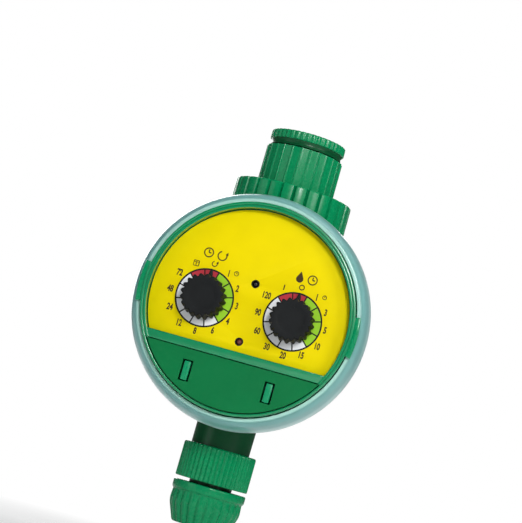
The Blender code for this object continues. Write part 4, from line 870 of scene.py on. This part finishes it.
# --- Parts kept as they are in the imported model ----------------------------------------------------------
def paint_kept_parts():
    """Give every node that no piece replaces the finish of its material slot."""
    by_slot = {"green_abs": GREEN, "dark_green_abs": DARK_GREEN_AND_PAINTED_SHADE, "frosted_clear": FROST,
               "yellow_label": YELLOW, "black_plastic": DARK_PLASTIC, "natural_plastic": NATURAL,
               "black_rubber": RUBBER, "zinc_steel": STEEL, "brass": BRASS, "circuit_board": BOARD,
               "lamp_red": LAMP_RED, "cell_jacket": JACKET, "cable_jacket": CABLE}
    slots = {row["node"]: row["material_slot"] for row in frame["record"]["subparts"]}
    for name, node in frame["nodes"].items():
        if node.hide_render:
            continue
        node.data.materials.clear()
        node.data.materials.append(by_slot[slots[name]].material)
        node.data.shade_smooth()
        node.data.set_sharp_from_angle(angle=math.radians(SHARP_ABOVE))


# --- Studio ----------------------------------------------------------------------------------------------
def area_light(name, place, aim, size, power, colour=(1, 1, 1)):
    data = bpy.data.lights.new(name, "AREA")
    data.shape = "DISK"
    data.size = size
    data.energy = power
    data.color = colour
    lamp_object = bpy.data.objects.new(name, data)
    lamp_object.location = place
    lamp_object.rotation_euler = (Vector(aim) - Vector(place)).to_track_quat("-Z", "Y").to_euler()
    bpy.context.scene.collection.objects.link(lamp_object)


def fade_to_white(paper):
    """Away from the object the floor turns into the same white as the backdrop."""
    length = paper.nodes.new("ShaderNodeVectorMath")
    length.operation = "LENGTH"
    paper.links.new(paper.place.outputs["Object"], length.inputs[0])
    far = paper.spread(length.outputs["Value"], FADE_START, FADE_END, 0, 1)
    white = paper.nodes.new("ShaderNodeEmission")
    path = paper.nodes.new("ShaderNodeLightPath")
    far = paper.maths("MULTIPLY", far, path.outputs["Is Camera Ray"])
    blend = paper.nodes.new("ShaderNodeMixShader")
    paper.links.new(far, blend.inputs["Fac"])
    paper.links.new(paper.shader.outputs[0], blend.inputs[1])
    paper.links.new(white.outputs[0], blend.inputs[2])
    paper.links.new(blend.outputs[0], paper.nodes["Material Output"].inputs["Surface"])


def build_backdrop(scene):
    """Dim surroundings that look white to the camera."""
    world = bpy.data.worlds.new("studio")
    world.use_nodes = True
    scene.world = world
    nodes = world.node_tree.nodes
    links = world.node_tree.links
    sky = nodes["Background"]
    sky.inputs["Color"].default_value = (0.93, 0.96, 1.0, 1)
    sky.inputs["Strength"].default_value = 0.09
    seen = nodes.new("ShaderNodeBackground")
    seen.inputs["Color"].default_value = (1, 1, 1, 1)
    seen.inputs["Strength"].default_value = 1.0
    path = nodes.new("ShaderNodeLightPath")
    choose = nodes.new("ShaderNodeMixShader")
    links.new(path.outputs["Is Camera Ray"], choose.inputs["Fac"])
    links.new(sky.outputs[0], choose.inputs[1])
    links.new(seen.outputs[0], choose.inputs[2])
    links.new(choose.outputs[0], nodes["World Output"].inputs["Surface"])


def build_floor(scene):
    floor_data = bpy.data.meshes.new("floor")
    model = bmesh.new()
    bmesh.ops.create_grid(model, x_segments=1, y_segments=1, size=FLOOR_HALF)
    bmesh.ops.translate(model, verts=model.verts, vec=(0, 0, FLOOR_HEIGHT))
    model.to_mesh(floor_data)
    model.free()
    floor = bpy.data.objects.new("floor", floor_data)
    scene.collection.objects.link(floor)
    paper = Finish("floor_paper", (0.86, 0.86, 0.86), 0.8, mottle=0.01, grain=0.02, grain_scale=600, edge_wear_and_highlight=0.0)
    fade_to_white(paper)
    floor_data.materials.append(paper.material)


def build_studio():
    scene = bpy.context.scene
    scene.view_settings.view_transform = "Standard"
    build_backdrop(scene)
    build_floor(scene)
    aim = (0, -50 * MM, 0)
    area_light("key", (0.30, -1.05, 0.40), aim, 0.28, 7.2)
    area_light("side", (0.85, -0.72, 0.35), aim, 0.40, 3.2)
    area_light("fill", (-0.95, -0.75, 0.25), aim, 0.8, 2.0, (0.96, 0.98, 1.0))
    area_light("top", (0.30, -0.12, 0.85), aim, 0.5, 3.0)
    area_light("back", (-0.3, 0.9, 0.35), aim, 0.7, 5.0)


def build_camera():
    azimuth = math.radians(7.2)
    elevation = math.radians(-6.6)
    roll = math.radians(16)
    distance = 741 * MM
    aim = Vector((-0.4, -62.0, 20.6)) * MM
    back = Vector((math.sin(azimuth) * math.cos(elevation), -math.cos(azimuth) * math.cos(elevation),
                   math.sin(elevation)))
    right = (-back).cross(Vector((0, 0, 1))).normalized()
    up = right.cross(-back)
    across = right * math.cos(roll) + up * math.sin(roll)
    upright = up * math.cos(roll) - right * math.sin(roll)
    data = bpy.data.cameras.new("camera")
    data.lens = 123.9
    data.sensor_width = 36
    data.clip_start = 0.01
    camera = bpy.data.objects.new("camera", data)
    turn = Matrix((across, upright, back)).transposed().to_4x4()
    camera.matrix_world = Matrix.Translation(aim + back * distance) @ turn
    bpy.context.scene.collection.objects.link(camera)
    bpy.context.scene.camera = camera


finish_special()
build_rear_case()
build_clear_ring()
build_housing()
build_plate()
build_lamp("upper_lamp_dome", LAMP_HEIGHTS[0], LAMP_BLACK, "upper_lamp")
build_lamp("lower_lamp_dome", LAMP_HEIGHTS[1], LAMP_RED, "lower_lamp")
build_prints()
build_knob("frequency", -1)
build_knob("water_time", 1)
build_drawer()
build_swivel_nut()
build_adapter()
build_reducer()
build_valve_body()
build_outlet()
build_screws()
paint_kept_parts()
build_studio()
build_camera()
